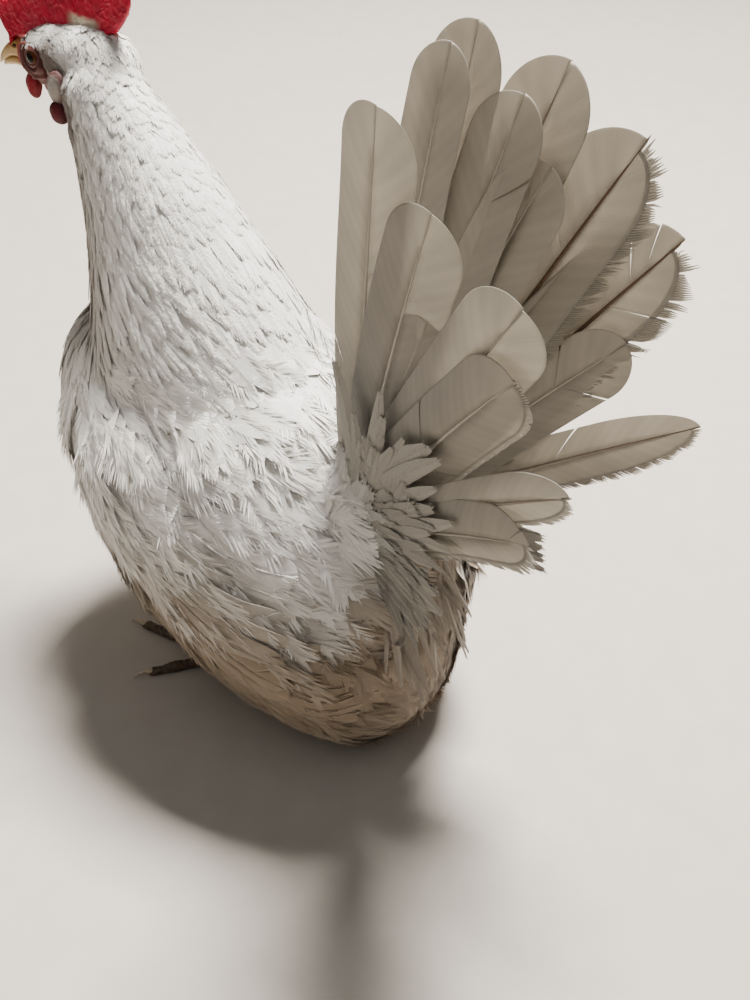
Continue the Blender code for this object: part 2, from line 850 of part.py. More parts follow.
def main():
    clear_scene()
    white = material("white_feathers", (0.84, 0.82, 0.77), 0.75)
    vane = material("tail_feathers", (0.80, 0.77, 0.70), 0.6)
    red = material("red_flesh", (0.52, 0.03, 0.04), 0.45)
    lobe = material("white_lobe", (0.80, 0.72, 0.66), 0.5)
    horn = material("beak_horn", (0.62, 0.40, 0.13), 0.35)
    scale = material("leg_scales", (0.16, 0.11, 0.06), 0.5)
    eye = material("eye", (0.05, 0.02, 0.01), 0.08)
    make_torso(white)
    make_neck(white)
    make_head(white)
    make_beak(horn)
    make_eyes(eye)
    make_comb(red)
    make_face_flesh(lobe, red)
    make_wings(vane)
    make_tail(vane)
    make_legs(white, scale)
    centre_bird()


main()
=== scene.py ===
"""Looks of the white bantam: one skin under laid feathers, a detailed head, scaled feet and a vaned tail.

Shapes are worked out in millimetres in the part's own design frame: the bird faces -X, its left side
is at -Y and its soles are on z = 0. mesh_piece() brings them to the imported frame.
"""

import itertools
import math

import bmesh
import bpy
import numpy as np
from mathutils import Matrix, Vector
from mathutils.bvhtree import BVHTree


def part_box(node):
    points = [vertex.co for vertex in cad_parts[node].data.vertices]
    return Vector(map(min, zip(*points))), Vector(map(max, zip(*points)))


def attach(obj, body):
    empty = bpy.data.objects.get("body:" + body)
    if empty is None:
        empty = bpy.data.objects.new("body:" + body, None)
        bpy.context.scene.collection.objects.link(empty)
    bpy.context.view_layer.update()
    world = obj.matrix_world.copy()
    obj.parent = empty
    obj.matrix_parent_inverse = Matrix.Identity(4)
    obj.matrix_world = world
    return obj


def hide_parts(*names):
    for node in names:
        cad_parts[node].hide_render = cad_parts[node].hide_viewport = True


MM = 0.001
TORSO_FRONT_X = -94.0
SIDES = (("left", -1.0), ("right", 1.0))

# The camera, fitted to the photo's outline: focal length in pixels of the 750 x 1000 frame.
FOCAL_PIXELS = 1159
FRAME_HEIGHT = 1000
SENSOR_HEIGHT = 36
CAMERA_AT = (277, -253, 424)
CAMERA_AZIMUTH = math.radians(39.6)
CAMERA_PITCH = math.radians(42.2)
CAMERA_ROLL = math.radians(0.5)

# The lights: (name, place, height aimed at, power, size, colour).
LIGHTS = (
    ("key", (-0.12, 0.50, 1.37), 0.12, 105, 0.4, (1.0, 0.965, 0.91)),
    ("fill", (-0.6, -0.9, 0.8), 0.1, 1.6, 1.2, (1.0, 0.95, 0.88)),
    ("top", (0.5, -0.4, 1.4), 0.1, 3, 1.0, (1.0, 1.0, 1.0)),
)
WORLD_COLOUR = (0.78, 0.75, 0.71, 1)
WORLD_STRENGTH = 0.09
FLOOR_TONES = ((0.46, 0.42, 0.375), (0.49, 0.45, 0.40))

# The coat's colours: its own warm white and the tail's vane tone; a brown for the neck's front and a dark for
# beside the bare face, both painted shade; and a brown that is part stain, part painted shade low on the
# body.
WHITE = np.array([0.86, 0.838, 0.795])
THROAT_PAINTED_SHADE = np.array([0.36, 0.275, 0.19])
STAIN_AND_SHADE_BROWN = np.array([0.27, 0.20, 0.13])
VANE = np.array([0.54, 0.50, 0.435])
FACE_SHADE = np.array([0.17, 0.125, 0.10])
SHAFT_BROWN = np.array([0.115, 0.065, 0.035])
# The beak's horn and its tip, and the comb with its paler rear.
HORN = np.array([0.50, 0.29, 0.09])
HORN_TIP = np.array([0.68, 0.46, 0.18])
COMB_RED = np.array([0.56, 0.004, 0.042])
COMB_PALE = np.array([0.74, 0.60, 0.45])

# The coat's depth over the skin on the body, the neck and the head.
BODY_DEPTH = 1.5
NECK_DEPTH = 1.2
HEAD_DEPTH = 0.8
SKIN_VOXEL = 2.0
# Steps along each small feather's path.
PATH_STEPS = 5
# Half the thickness of a small feather's core.
CORE_THICKNESS = 0.10
# How far a small feather's sides bend down, over its half width.
CAMBER = 0.14
# Each tuft's patch on the bake map.
PATCH = 0.003
# The turn from one point to the next round a patch.
PATCH_TURN = 2.4
# The neck's axis, from its foot in the torso up to the head.
NECK_BASE = np.array([-16.0, 0.0, 134.0])
NECK_AXIS = np.array([-0.52, 0.09, 0.85])

# The head: its origin between the eyes, and its turns. Its own axes run forward, left and up.
HEAD_AT = Vector((-106, 12, 248))
HEAD_YAW = math.radians(5)
HEAD_PITCH = math.radians(2)
HEAD_ROLL = math.radians(7)
SKULL_ROWS = (
    (17.0, 0.5, 0.8, 0.8),
    (15.5, 0.5, 4.6, 5.6),
    (11.0, 0.5, 7.4, 8.8),
    (4.0, 0.6, 9.6, 11.2),
    (-5.0, 0.4, 11.2, 12.8),
    (-13.0, -0.6, 11.4, 12.6),
    (-20.0, -2.4, 9.6, 10.6),
    (-25.0, -4.0, 5.6, 6.6),
    (-27.0, -4.6, 0.8, 0.8),
)
# Where the face's bare skin ends, over the side view of the head, and how far its shade reaches.
FACE_EDGE = (
    (-1.5, 6.5), (-4.5, 1.1), (-10.9, 0.1), (-17.6, -1.9), (-21.8, -10.4), (-16.2, -23.1),
)
FACE_SHADE_REACH = 5.0
# Balls (place, radii) that fill out the nape, the crown and the back of the head, in head lengths.
HEAD_BALLS = (
    ((-25, 0, 4.4), (19, 11.5, 12.2)),
    ((-5, 0, 3.5), (16, 9.6, 10.8)),
    ((-14, 0, 3.9), (15, 10.8, 11.7)),
)
# The same for the rump, in design lengths.
RUMP_BALL = ((71, 0, 126), (24, 27, 31))
# The rear of the abdomen is drawn in behind this place and below this height.
ABDOMEN_END = 82
ABDOMEN_TOP = 112
# Where the coat's regions meet: the breast's end, and the heights of the flank's and the thigh's tops.
BREAST_END = -25
FLANK_TOP = 118
THIGH_TOP = 46
RUMP_AT = (68, 0, 142)
RUMP_RADIUS = 30
EYE_AT = (1.5, 6.6, 1.6)
EYE_RADIUS = 4.4
UPPER_BEAK_ROWS = (
    (11.0, 1.2, 4.6, 3.6),
    (16.0, 0.9, 4.4, 3.6),
    (21.0, 0.0, 3.6, 3.2),
    (26.0, -2.2, 2.5, 2.7),
    (30.0, -5.0, 1.3, 1.7),
    (32.0, -7.4, 0.35, 0.4),
)
LOWER_BEAK_ROWS = (
    (10.0, -4.4, 4.2, 2.2),
    (15.0, -4.1, 4.2, 2.1),
    (20.0, -4.3, 3.5, 1.9),
    (25.0, -5.6, 2.5, 1.5),
    (29.0, -7.2, 0.9, 0.8),
)
# The comb's columns: (foot forward, foot up, crest forward, crest up).
COMB_COLUMNS = (
    (20.5, 0.0, 21.5, 1.5),
    (20.5, 2.5, 22.5, 6.0),
    (20.0, 4.5, 25.5, 10.5),
    (19.5, 5.0, 31.5, 15),
    (18.5, 5.5, 27, 20),
    (17.5, 6.0, 21, 19),
    (15.5, 6.5, 17, 35),
    (11.0, 7.0, 9, 24),
    (5.0, 8.0, 1, 41),
    (0.0, 8.5, -5, 27),
    (-5.0, 9.0, -14, 43),
    (-11.0, 9.5, -20, 28),
    (-16.0, 10.0, -31, 41),
    (-21.0, 11.5, -33, 29),
    (-27.0, 13.0, -42, 35),
    (-32.0, 14.6, -45, 28),
    (-36.0, 15.6, -41, 20),
)
# The lobes and wattles: (kind, slot, place, radii, seed, folds, colour, colour of the rim). The colours are
# painted darker than the lobes' own white and red, as painted shade, and the rim's colour is a painted shadow
# round each one.
LOBES = (
    ("earlobe", "white_lobe", (-14.6, 12.6, -6.0), (5.2, 2.6, 6.2), 31, 0.12,
     (0.38, 0.34, 0.305), (0.10, 0.045, 0.04)),
    ("lobe_bulb", "red_flesh", (-14.6, 12.8, -15.2), (4.9, 2.7, 4.5), 33, 0.2,
     (0.11, 0.005, 0.010), (0.06, 0.004, 0.006)),
    ("wattle", "red_flesh", (8.5, 4.2, -11.0), (4.3, 1.7, 5.2), 35, 0.22,
     (0.25, 0.005, 0.014), (0.15, 0.004, 0.009)),
)

# The feet: ankle, toes as (turn from the bird's front, length, radius), and the shank's line.
ANKLE = (-3, 24)
FOOT_YAW = math.radians(14)
TOES = ((40, 34, 2.7), (0, 46, 3.0), (-42, 36, 2.7), (168, 15, 2.4))
CLAW_LENGTH = 8.0
SHANK_LINE = ((5, 25.8, 36), (4, 25.5, 30), (1, 25, 20), (-1.5, 24.4, 12), (-3, 24, 5))
SHANK_RADIUS = 4.0
SHANK_LENGTH = 33
# The length of one plate on the toes and shanks.
SCUTE = 2.4
# The toes' soles lie this far over the floor, and no point of a foot lies lower than SOLE_LOW.
SOLE_GAP = 0.12
SOLE_LOW = 0.05

# The tail: its root, and each half's feathers as (tip x, tip z, width, layer, shaft darkness, fray).
# A higher layer lies nearer to the bird's middle.
TAIL_ROOT = (64, 112)
TAIL_TOP_LEAN = 5.0
TAIL_LOW_LEAN = 17.0
TAIL_INNER_Y = 2.6
TAIL_LAYER = 2.1
TAIL_FEATHERS = {
    "right": (
        (78, 300, 27, 0.0, 0.2, 0.03),
        (108, 294, 31, 0.3, 0.45, 0.03),
        (134, 277, 37, 0.6, 0.95, 0.25),
        (151, 250, 37, 0.9, 1.0, 0.3),
        (169, 187, 22, 1.2, 0.5, 0.2),
        (73, 294, 23, 2.4, 0.15, 0.02),
        (98, 284, 26, 2.7, 0.2, 0.02),
        (110, 265, 27, 3.2, 0.15, 0.02),
        (143, 214, 24, 3.0, 0.2, 0.03),
    ),
    "left": (
        (91, 298, 27, 3.4, 0.2, 0.02),
        (112, 275, 28, 3.0, 0.2, 0.02),
        (149, 266, 29, 2.4, 0.3, 0.03),
        (148, 243, 27, 1.8, 0.2, 0.1),
        (173, 221, 18, 1.4, 0.5, 0.2),
        (160, 192, 25, 1.0, 0.2, 0.25),
        (108, 237, 25, 3.9, 0.25, 0.03),
        (84, 214, 22, 4.2, 0.1, 0.03),
    ),
}
# The soft plumes round the tail's foot: how many, and the least and most turn, reach and width.
PLUMES = 260
PLUME_TURN = (-16, 72)
PLUME_REACH = (34, 88)
PLUME_WIDTH = (7, 11.5)
# The wisps that hang behind the abdomen.
WISPS = 34
WISP_ROOTS = ((84, 95), (-20, 14), (84, 106))

# The folded wing's tiers, lowest feather to highest:
# (count, lowest and highest root, lowest and highest tip, width, heights at root and tip).
WING_TIERS = (
    (9, ((6, 92), (12, 112)), ((90, 46), (98, 84)), 14.0, (0.4, 2.4)),
    (8, ((-14, 101), (-2, 132)), ((76, 68), (66, 116)), 15.0, (1.0, 3.4)),
)
# The folded wing's middle line over the side view, from shoulder to tip, and how it swells over the body.
WING_LINE = ((-20, 118), (90, 64))
WING_REACH = (26, 13)
WING_SWELL = 6.0


def head_matrix():
    """Turns forward, left and up lengths in the head into design places."""
    axes = Matrix(((-1, 0, 0), (0, -1, 0), (0, 0, 1)))
    turn = Matrix.Rotation(HEAD_YAW, 3, "Z")
    nod = Matrix.Rotation(HEAD_PITCH, 3, "Y")
    roll = Matrix.Rotation(HEAD_ROLL, 3, "X")
    return Matrix.Translation(HEAD_AT) @ (axes @ turn @ nod @ roll).to_4x4()


HEAD_FRAME = np.array(head_matrix())
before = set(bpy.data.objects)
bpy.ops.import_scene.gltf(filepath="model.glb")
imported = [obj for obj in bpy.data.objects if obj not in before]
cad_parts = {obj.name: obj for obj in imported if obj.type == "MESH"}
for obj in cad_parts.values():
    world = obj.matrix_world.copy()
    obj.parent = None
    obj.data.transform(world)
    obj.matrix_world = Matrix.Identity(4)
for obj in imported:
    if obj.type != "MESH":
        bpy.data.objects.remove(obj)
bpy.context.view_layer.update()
SHIFT = np.array([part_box("torso")[0].x / MM - TORSO_FRONT_X, 0.0, 0.0])


def from_head(points):
    """Head lengths (forward, left, up) to design places."""
    points = np.asarray(points, float)
    return points @ HEAD_FRAME[:3, :3].T + HEAD_FRAME[:3, 3]


def to_head(points):
    return (np.asarray(points, float) - HEAD_FRAME[:3, 3]) @ HEAD_FRAME[:3, :3]


def unit(vectors):
    length = np.linalg.norm(vectors, axis=-1, keepdims=True)
    return vectors / np.maximum(length, 1e-9)


def ways_along(points, axis=0):
    return unit(np.gradient(points, axis=axis))


def blend(low, high, share):
    return low * (1 - share) + high * share


def clamp(values):
    return np.clip(values, 0, 1)


def circle(count):
    """Even turns once round."""
    return np.linspace(0, 2 * math.pi, count, endpoint=False)


def noise(points, scale, seed):
    """Smooth noise of about -1 to 1 from a few waves in seeded directions."""
    draw = np.random.default_rng(seed)
    points = np.asarray(points, float) / scale
    total = np.zeros(points.shape[:-1])
    for octave in range(3):
        for _ in range(9):
            way = draw.normal(size=3) * 2.0 ** octave
            total += np.sin(points @ way + draw.uniform(0, 6.3)) / 2.0 ** octave
    return total / 6.75


def add_object(name, data):
    made = bpy.data.objects.new(name, data)
    bpy.context.scene.collection.objects.link(made)
    return made


def mesh_piece(name, points, faces, look, smooth=True, colours=None, maps=None):
    """A mesh object from design places in mm. faces is an array of triangles or of quads."""
    points = np.asarray(points, float)
    faces = np.asarray(faces, np.int32)
    corners = faces.shape[1]
    mesh = bpy.data.meshes.new(name)
    mesh.vertices.add(len(points))
    mesh.vertices.foreach_set("co", ((points + SHIFT) * MM).astype(np.float32).ravel())
    mesh.loops.add(faces.size)
    mesh.loops.foreach_set("vertex_index", faces.ravel())
    mesh.polygons.add(len(faces))
    mesh.polygons.foreach_set("loop_start", np.arange(0, faces.size, corners, dtype=np.int32))
    mesh.polygons.foreach_set("use_smooth", np.full(len(faces), smooth))
    mesh.update(calc_edges=True)
    if colours is not None:
        tint = mesh.color_attributes.new("Tint", "FLOAT_COLOR", "POINT")
        filled = np.pad(clamp(colours), ((0, 0), (0, 1)), constant_values=1)
        tint.data.foreach_set("color", filled.astype(np.float32).ravel())
    for label, places in (maps or {}).items():
        layer = mesh.uv_layers.new(name=label)
        layer.data.foreach_set("uv", places[faces.ravel()].astype(np.float32).ravel())
    mesh.validate()
    mesh.materials.append(look)
    return add_object(name, mesh)


def ride(piece, slot, *nodes):
    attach(piece, "root")
    if nodes:
        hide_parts(*nodes)


def grid_faces(rows, columns, wrap):
    """Quads over a grid of rows x columns points; wrap joins the last column to the first."""
    across = columns if wrap else columns - 1
    row, column = np.meshgrid(np.arange(rows - 1), np.arange(across), indexing="ij")
    following = (column + 1) % columns
    quads = np.stack([
        row * columns + column,
        row * columns + following,
        (row + 1) * columns + following,
        (row + 1) * columns + column,
    ], axis=-1)
    return quads.reshape(-1, 4)


def joined(parts):
    """One mesh's arrays from those of its parts: points, faces, then what goes with each point."""
    points, faces, *values = zip(*parts)
    starts = np.cumsum([0, *map(len, points[:-1])])
    faces = [part + start for part, start in zip(faces, starts)]
    return [np.concatenate(group) for group in (points, faces, *values)]


def grids_piece(name, grids, look, colours=None):
    """One mesh over grids of design places, each wrapped round its columns."""
    points, faces = joined([(grid.reshape(-1, 3), grid_faces(*grid.shape[:2], True)) for grid in grids])
    if colours is not None:
        colours = colours.reshape(-1, 3)
    return mesh_piece(name, points, faces, look, colours=colours)


def smooth_rows(rows, count):
    """Rows of numbers resampled to count rows along a smooth curve through them."""
    rows = np.asarray(rows, float)
    places = np.linspace(0, len(rows) - 1, count)
    low = np.clip(places.astype(int), 0, len(rows) - 2)
    part = (places - low)[:, None]
    before = rows[np.maximum(low - 1, 0)]
    here = rows[low]
    there = rows[low + 1]
    after = rows[np.minimum(low + 2, len(rows) - 1)]
    return 0.5 * (
        2 * here
        + (there - before) * part
        + (2 * before - 5 * here + 4 * there - after) * part ** 2
        + (3 * here - before - 3 * there + after) * part ** 3
    )


def head_tube(rows, count, sides):
    """Points (count, sides, 3) in head lengths round (forward, centre height, half width, half height)."""
    rows = smooth_rows(rows, count)
    rows[:, 2:] = np.maximum(rows[:, 2:], 0.15)
    turn = circle(sides)
    forward = np.repeat(rows[:, :1], sides, axis=1)
    left = rows[:, 2:3] * np.cos(turn)
    up = rows[:, 1:2] + rows[:, 3:4] * np.sin(turn)
    return np.stack([forward, left, up], axis=-1)


def grid_normals(grid):
    """Outward normals of a wrapped grid of points, by differences along rows and columns."""
    along = np.gradient(grid, axis=0)
    across = np.roll(grid, -1, axis=1) - np.roll(grid, 1, axis=1)
    normals = unit(np.cross(across, along))
    middle = grid.reshape(-1, 3).mean(0)
    if np.sum(normals * (grid - middle)) < 0:
        normals = -normals
    return normals


def nodes_of(look):
    return look.node_tree.nodes, look.node_tree.links


def put(node, **values):
    """Set a node's inputs by name, with _ for a space."""
    for name, value in values.items():
        node.inputs[name.replace("_", " ")].default_value = value


def new_look(name, roughness, colour=(0.8, 0.8, 0.8)):
    look = bpy.data.materials.new(name)
    look.use_nodes = True
    shader = look.node_tree.nodes["Principled BSDF"]
    put(shader, Base_Color=(*colour, 1), Roughness=roughness)
    return look, shader


def add_bump(look, shader, source, strength, distance):
    nodes, links = nodes_of(look)
    bump = nodes.new("ShaderNodeBump")
    put(bump, Strength=strength, Distance=distance)
    links.new(source.outputs["Fac"], bump.inputs["Height"])
    links.new(bump.outputs["Normal"], shader.inputs["Normal"])


def add_noise_bump(look, shader, scale, strength, distance):
    nodes, links = nodes_of(look)
    place = nodes.new("ShaderNodeTexCoord")
    grain = nodes.new("ShaderNodeTexNoise")
    put(grain, Scale=scale, Detail=4.0)
    links.new(place.outputs["Object"], grain.inputs["Vector"])
    add_bump(look, shader, grain, strength, distance)
    return grain


def add_tint(look):
    tint = look.node_tree.nodes.new("ShaderNodeAttribute")
    tint.attribute_name = "Tint"
    return tint.outputs["Color"]


def let_light_in(shader, weight):
    put(shader, Subsurface_Weight=weight, Subsurface_Radius=(1.0, 0.3, 0.2), Subsurface_Scale=0.002)


def two_tone(look, shader, dark, light, grain):
    """Base colour from dark to light by a noise texture."""
    nodes, links = nodes_of(look)
    ramp = nodes.new("ShaderNodeValToRGB")
    for end, place, colour in zip(ramp.color_ramp.elements, (0.32, 0.7), (dark, light)):
        end.position = place
        end.color = (*colour, 1)
    links.new(grain.outputs["Fac"], ramp.inputs["Fac"])
    links.new(ramp.outputs["Color"], shader.inputs["Base Color"])


def flesh_look(name, dark, light, roughness, scale):
    """Skin or horn of two mottled tones."""
    look, shader = new_look(name, roughness, light)
    let_light_in(shader, 0.15)
    grain = add_noise_bump(look, shader, scale, 0.55, 0.0006)
    two_tone(look, shader, dark, light, grain)
    return look


def feather_look(name, see_through):
    """Tinted barbs: the vertex colour, fine lines along the barbs, and light let through."""
    look, shader = new_look(name, 0.62)
    nodes, links = nodes_of(look)
    put(shader, Sheen_Weight=0.25, Sheen_Roughness=0.45, Specular_IOR_Level=0.3)
    tint = add_tint(look)
    links.new(tint, shader.inputs["Base Color"])
    barbs = nodes.new("ShaderNodeUVMap")
    barbs.uv_map = "Barbs"
    wave = nodes.new("ShaderNodeTexWave")
    wave.wave_type = "BANDS"
    wave.bands_direction = "X"
    put(wave, Scale=1.0, Distortion=1.2)
    links.new(barbs.outputs["UV"], wave.inputs["Vector"])
    add_bump(look, shader, wave, 0.35, 0.0002)
    through = nodes.new("ShaderNodeBsdfTranslucent")
    links.new(tint, through.inputs["Color"])
    mix = nodes.new("ShaderNodeMixShader")
    put(mix, Fac=see_through)
    links.new(shader.outputs["BSDF"], mix.inputs[1])
    links.new(through.outputs["BSDF"], mix.inputs[2])
    links.new(mix.outputs["Shader"], nodes["Material Output"].inputs["Surface"])
    return look


def joined_hull():
    """The bird's outer form without wings and tail: its flesh nodes joined, remeshed and smoothed."""
    shape = bmesh.new()
    for name in ("torso", "neck", "head", "thigh_left", "thigh_right"):
        shape.from_mesh(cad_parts[name].data)
    turned = head_matrix().to_3x3().to_4x4()
    balls = [(*RUMP_BALL, Matrix.Identity(4))]
    balls += [(from_head(place), radii, turned) for place, radii in HEAD_BALLS]
    for place, radii, turn in balls:
        size = Matrix.Diagonal([radius * MM for radius in radii] + [1])
        moved = Matrix.Translation((Vector(place) + Vector(SHIFT)) * MM)
        bmesh.ops.create_icosphere(shape, subdivisions=3, radius=1.0, matrix=moved @ turn @ size)
    mesh = bpy.data.meshes.new("hull")
    shape.to_mesh(mesh)
    shape.free()
    hull = add_object("hull", mesh)
    grow = hull.modifiers.new("remesh", "REMESH")
    grow.mode = "VOXEL"
    grow.voxel_size = SKIN_VOXEL * MM
    soften = hull.modifiers.new("soften", "SMOOTH")
    soften.factor = 0.5
    soften.iterations = 18
    graph = bpy.context.evaluated_depsgraph_get()
    done = bpy.data.meshes.new_from_object(hull.evaluated_get(graph))
    bpy.data.objects.remove(hull)
    points, normals = np.empty((2, len(done.vertices), 3))
    done.vertices.foreach_get("co", points.ravel())
    done.vertices.foreach_get("normal", normals.ravel())
    quads = np.array([face.vertices[:] for face in done.polygons], np.int32)
    points = points / MM - SHIFT
    low = clamp((ABDOMEN_TOP - points[:, 2]) / 25)
    points[:, 0] -= 0.42 * low * np.maximum(points[:, 0] - ABDOMEN_END, 0)
    return points, normals, quads


HULL_POINTS, HULL_NORMALS, HULL_FACES = joined_hull()
HULL = BVHTree.FromPolygons([Vector(p) for p in HULL_POINTS], HULL_FACES.tolist())


def nearest(points):
    """Nearest hull places and their smoothed outward normals."""
    places = np.empty((len(points), 3))
    ways = np.empty((len(points), 3))
    for i, point in enumerate(points):
        place, _, face, _ = HULL.find_nearest(point)
        places[i] = place
        ways[i] = HULL_NORMALS[HULL_FACES[face]].mean(0)
    return places, unit(ways)


def neck_share(points):
    """0 on the body, rising to 1 at the head, along the neck's axis."""
    return clamp(((points - NECK_BASE) @ NECK_AXIS - 22) / 110)


def head_share(points):
    """1 on the head, 0 from a little below it."""
    local = to_head(points)
    return clamp((local[..., 0] + 22 - 0.2 * local[..., 2]) / 8) * (points[..., 2] > 205)


def coat_depth(points):
    neck = neck_share(points)
    head = head_share(points)
    depth = BODY_DEPTH + (NECK_DEPTH - BODY_DEPTH) * neck
    return depth + (HEAD_DEPTH - depth) * head


def lie_of_coat(points):
    """The way the feathers point, over the whole bird, before it is laid on the surface."""
    points = np.asarray(points, float)
    neck = neck_share(points)[..., None]
    head = head_share(points)[..., None]
    x = points[..., 0]
    z = points[..., 2]
    down = np.array([0.52, -0.09, -0.85])
    body = np.stack([np.full_like(x, 0.9), np.zeros_like(x), -0.42 - 0.25 * clamp((90 - z) / 60)], -1)
    breast = np.array([0.42, 0, -0.9])
    front = clamp((-35 - x) / 40)[..., None]
    body = blend(body, breast, front)
    rump = clamp(1.4 - np.linalg.norm(points - np.array([72, 0, 136]), axis=-1) / 32)[..., None]
    fan = unit(points * np.array([1.0, 0.0, 1.0]) - np.array([48.0, 0.0, 112.0]))
    body = blend(body, fan, rump)
    way = body * (1 - neck) ** 1.5 + down * (1 - (1 - neck) ** 1.5)
    back = HEAD_FRAME[:3, :3] @ np.array([-0.93, 0, -0.3])
    return unit(blend(way, back, head))


def body_unwrap(points):
    """An unwrap of the skin's own shape: turn about the bird's axis by place along it."""
    neck = neck_share(points)
    up_neck = (points - NECK_BASE) @ NECK_AXIS
    from_axis = points - (NECK_BASE + up_neck[..., None] * NECK_AXIS)
    on_neck = neck > 0.02
    turn = np.where(
        on_neck,
        np.arctan2(points[..., 1] - NECK_BASE[1] - up_neck * NECK_AXIS[1], from_axis[..., 0]),
        np.arctan2(points[..., 1], points[..., 2] - 92),
    )
    across = 0.02 + 0.46 * (turn / (2 * math.pi) + 0.5)
    along_body = 0.03 + 0.94 * clamp((points[..., 0] + 96) / 210)
    along_neck = 0.03 + 0.94 * clamp(up_neck / 170)
    return np.stack([np.where(on_neck, across + 0.5, across), np.where(on_neck, along_neck, along_body)], -1)


def bare_amount(local):
    """1 on the bare skin of the face and round the lobes, 0 where feathers grow, in head lengths."""
    forward, left, up = local[..., 0], local[..., 1], local[..., 2]
    behind = clamp((forward + 9.0 - 0.45 * (up + 6)) / 2.5)
    below = clamp((8.2 - 0.018 * (forward - 2) ** 2 - up) / 2.0)
    lobes = np.hypot((forward + 13.5) / 7.0, (up + 9.5) / 11.5)
    lobes = clamp((1.1 - lobes) / 0.25) * (np.abs(left) > 4)
    return np.maximum(behind * below, lobes)


def bare_face(points):
    """True where no feathers grow."""
    return (bare_amount(to_head(points)) > 0.5) & (head_share(points) > 0.05)


def sample_hull(spacing_of, keep, seed, tries):
    """Places over the hull at least the wanted spacing apart, by seeded darts."""
    draw = np.random.default_rng(seed)
    corners = HULL_POINTS[HULL_FACES]
    area = np.linalg.norm(np.cross(corners[:, 2] - corners[:, 0], corners[:, 3] - corners[:, 1]), axis=1) / 2
    area = area * keep(corners.mean(1))
    chosen = draw.choice(len(area), size=tries, p=area / area.sum())
    a, b = draw.random((2, tries, 1))
    quad = corners[chosen]
    near_side = quad[:, 0] * (1 - a) * (1 - b) + quad[:, 1] * a * (1 - b)
    spots = near_side + quad[:, 2] * a * b + quad[:, 3] * (1 - a) * b
    spacing = spacing_of(spots)
    cell = float(spacing.max())
    taken = {}
    kept = []
    for i, spot in enumerate(spots):
        key = (spot // cell).astype(int)
        cells = (tuple(key + step) for step in itertools.product((-1, 0, 1), repeat=3))
        near = (spots[j] - spot for place in cells for j in taken.get(place, ()))
        if not any(gap @ gap < spacing[i] ** 2 for gap in near):
            taken.setdefault(tuple(key), []).append(i)
            kept.append(i)
    return spots[kept]


def wing_rise(points):
    """How far the folded wing's top lies over the hull."""
    start = np.array(WING_LINE[0], float)
    along = np.array(WING_LINE[1], float) - start
    local = points[..., (0, 2)] - start
    share = clamp(local @ along / (along @ along))
    off = np.linalg.norm(local - share[..., None] * along, axis=-1)
    reach = WING_REACH[0] + (WING_REACH[1] - WING_REACH[0]) * share
    swell = np.sqrt(clamp(1 - (off / reach) ** 2))
    return WING_SWELL * swell * clamp((np.abs(points[..., 1]) - 22) / 12)


def lay_paths(roots, lengths, depth, lift, draw, sway):
    """Paths of PATH_STEPS steps that start depth under the hull and follow it to lift above it."""
    places, ways = nearest(roots)
    angle = draw.normal(0, sway, len(roots))[:, None]
    paths = []
    normals = []
    for step in range(PATH_STEPS + 1):
        share = step / PATH_STEPS
        height = -(depth + 0.6) * (1 - share) ** 2.6 + lift * share ** 1.5 + wing_rise(places)
        paths.append(places + ways * np.reshape(height, (-1, 1)))
        normals.append(ways)
        flow = lie_of_coat(places)
        flow = unit(flow - np.sum(flow * ways, -1, keepdims=True) * ways)
        side = np.cross(ways, flow)
        flow = unit(flow * np.cos(angle) + side * np.sin(angle))
        places, found = nearest(places + flow * (lengths / PATH_STEPS)[:, None])
        ways = unit(0.5 * ways + 0.5 * found)
    return np.stack(paths, 1), np.stack(normals, 1)


def along_path(paths, shares):
    """Points (n, m, 3) at shares (n, m) of each path."""
    stations = paths.shape[1] - 1
    place = clamp(shares) * stations
    low = np.clip(place.astype(int), 0, stations - 1)
    part = (place - low)[..., None]
    rows = np.arange(len(paths))[:, None]
    return blend(paths[rows, low], paths[rows, low + 1], part)


def feather_width(share, roundness):
    """Half width of a vane, 0 to 1, along its length."""
    rise = clamp(share / 0.35)
    rise = 0.25 + 0.75 * rise * (2 - rise)
    fall = np.sqrt(clamp(1 - clamp((share - roundness) / (1 - roundness)) ** 2))
    return rise * fall


def patch_round(places):
    """Spots spread round each point's place on the unwrap, over its tuft's patch."""
    turn = np.arange(len(places)) * PATCH_TURN
    return places + np.stack([np.sin(turn), np.cos(turn)], -1) * PATCH / 2


def rod_faces(count, rows):
    """Quads of count closed rods, each of rows rings of four points."""
    last = rows * 4 - 1
    one = np.concatenate([grid_faces(rows, 4, True), [[0, 1, 2, 3], [last, last - 1, last - 2, last - 3]]])
    return (one + (np.arange(count) * rows * 4)[:, None, None]).reshape(-1, 4)


def feather_cores(paths, normals, half, colours):
    """Each small feather's thin closed core: points, triangles, tints, barb map and owners."""
    count, stations = paths.shape[:2]
    sides = unit(np.cross(normals, ways_along(paths, 1)))
    share = np.linspace(0, 1, stations)
    tone = colours[:, None, :] * (0.86 + 0.14 * share)[None, :, None]
    points, uv = [], []
    for across, lift in ((-1, 0), (0, CORE_THICKNESS), (1, 0), (0, -CORE_THICKNESS)):
        drop = -CAMBER * half * abs(across)
        points.append(paths + sides * (half * across)[..., None] + normals * (lift + drop)[..., None])
        along = np.broadcast_to(share * 9 - abs(across) * 1.2, half.shape)
        uv.append(np.stack([along, np.full_like(half, across)], -1))
    quads = rod_faces(count, stations)
    faces = np.concatenate([quads[:, [0, 1, 2]], quads[:, [0, 2, 3]]])
    tints = np.repeat(tone.reshape(-1, 3), 4, axis=0)
    owner = np.repeat(np.arange(count), stations * 4)
    return np.stack(points, 2).reshape(-1, 3), faces, tints, np.stack(uv, 2).reshape(-1, 2), owner


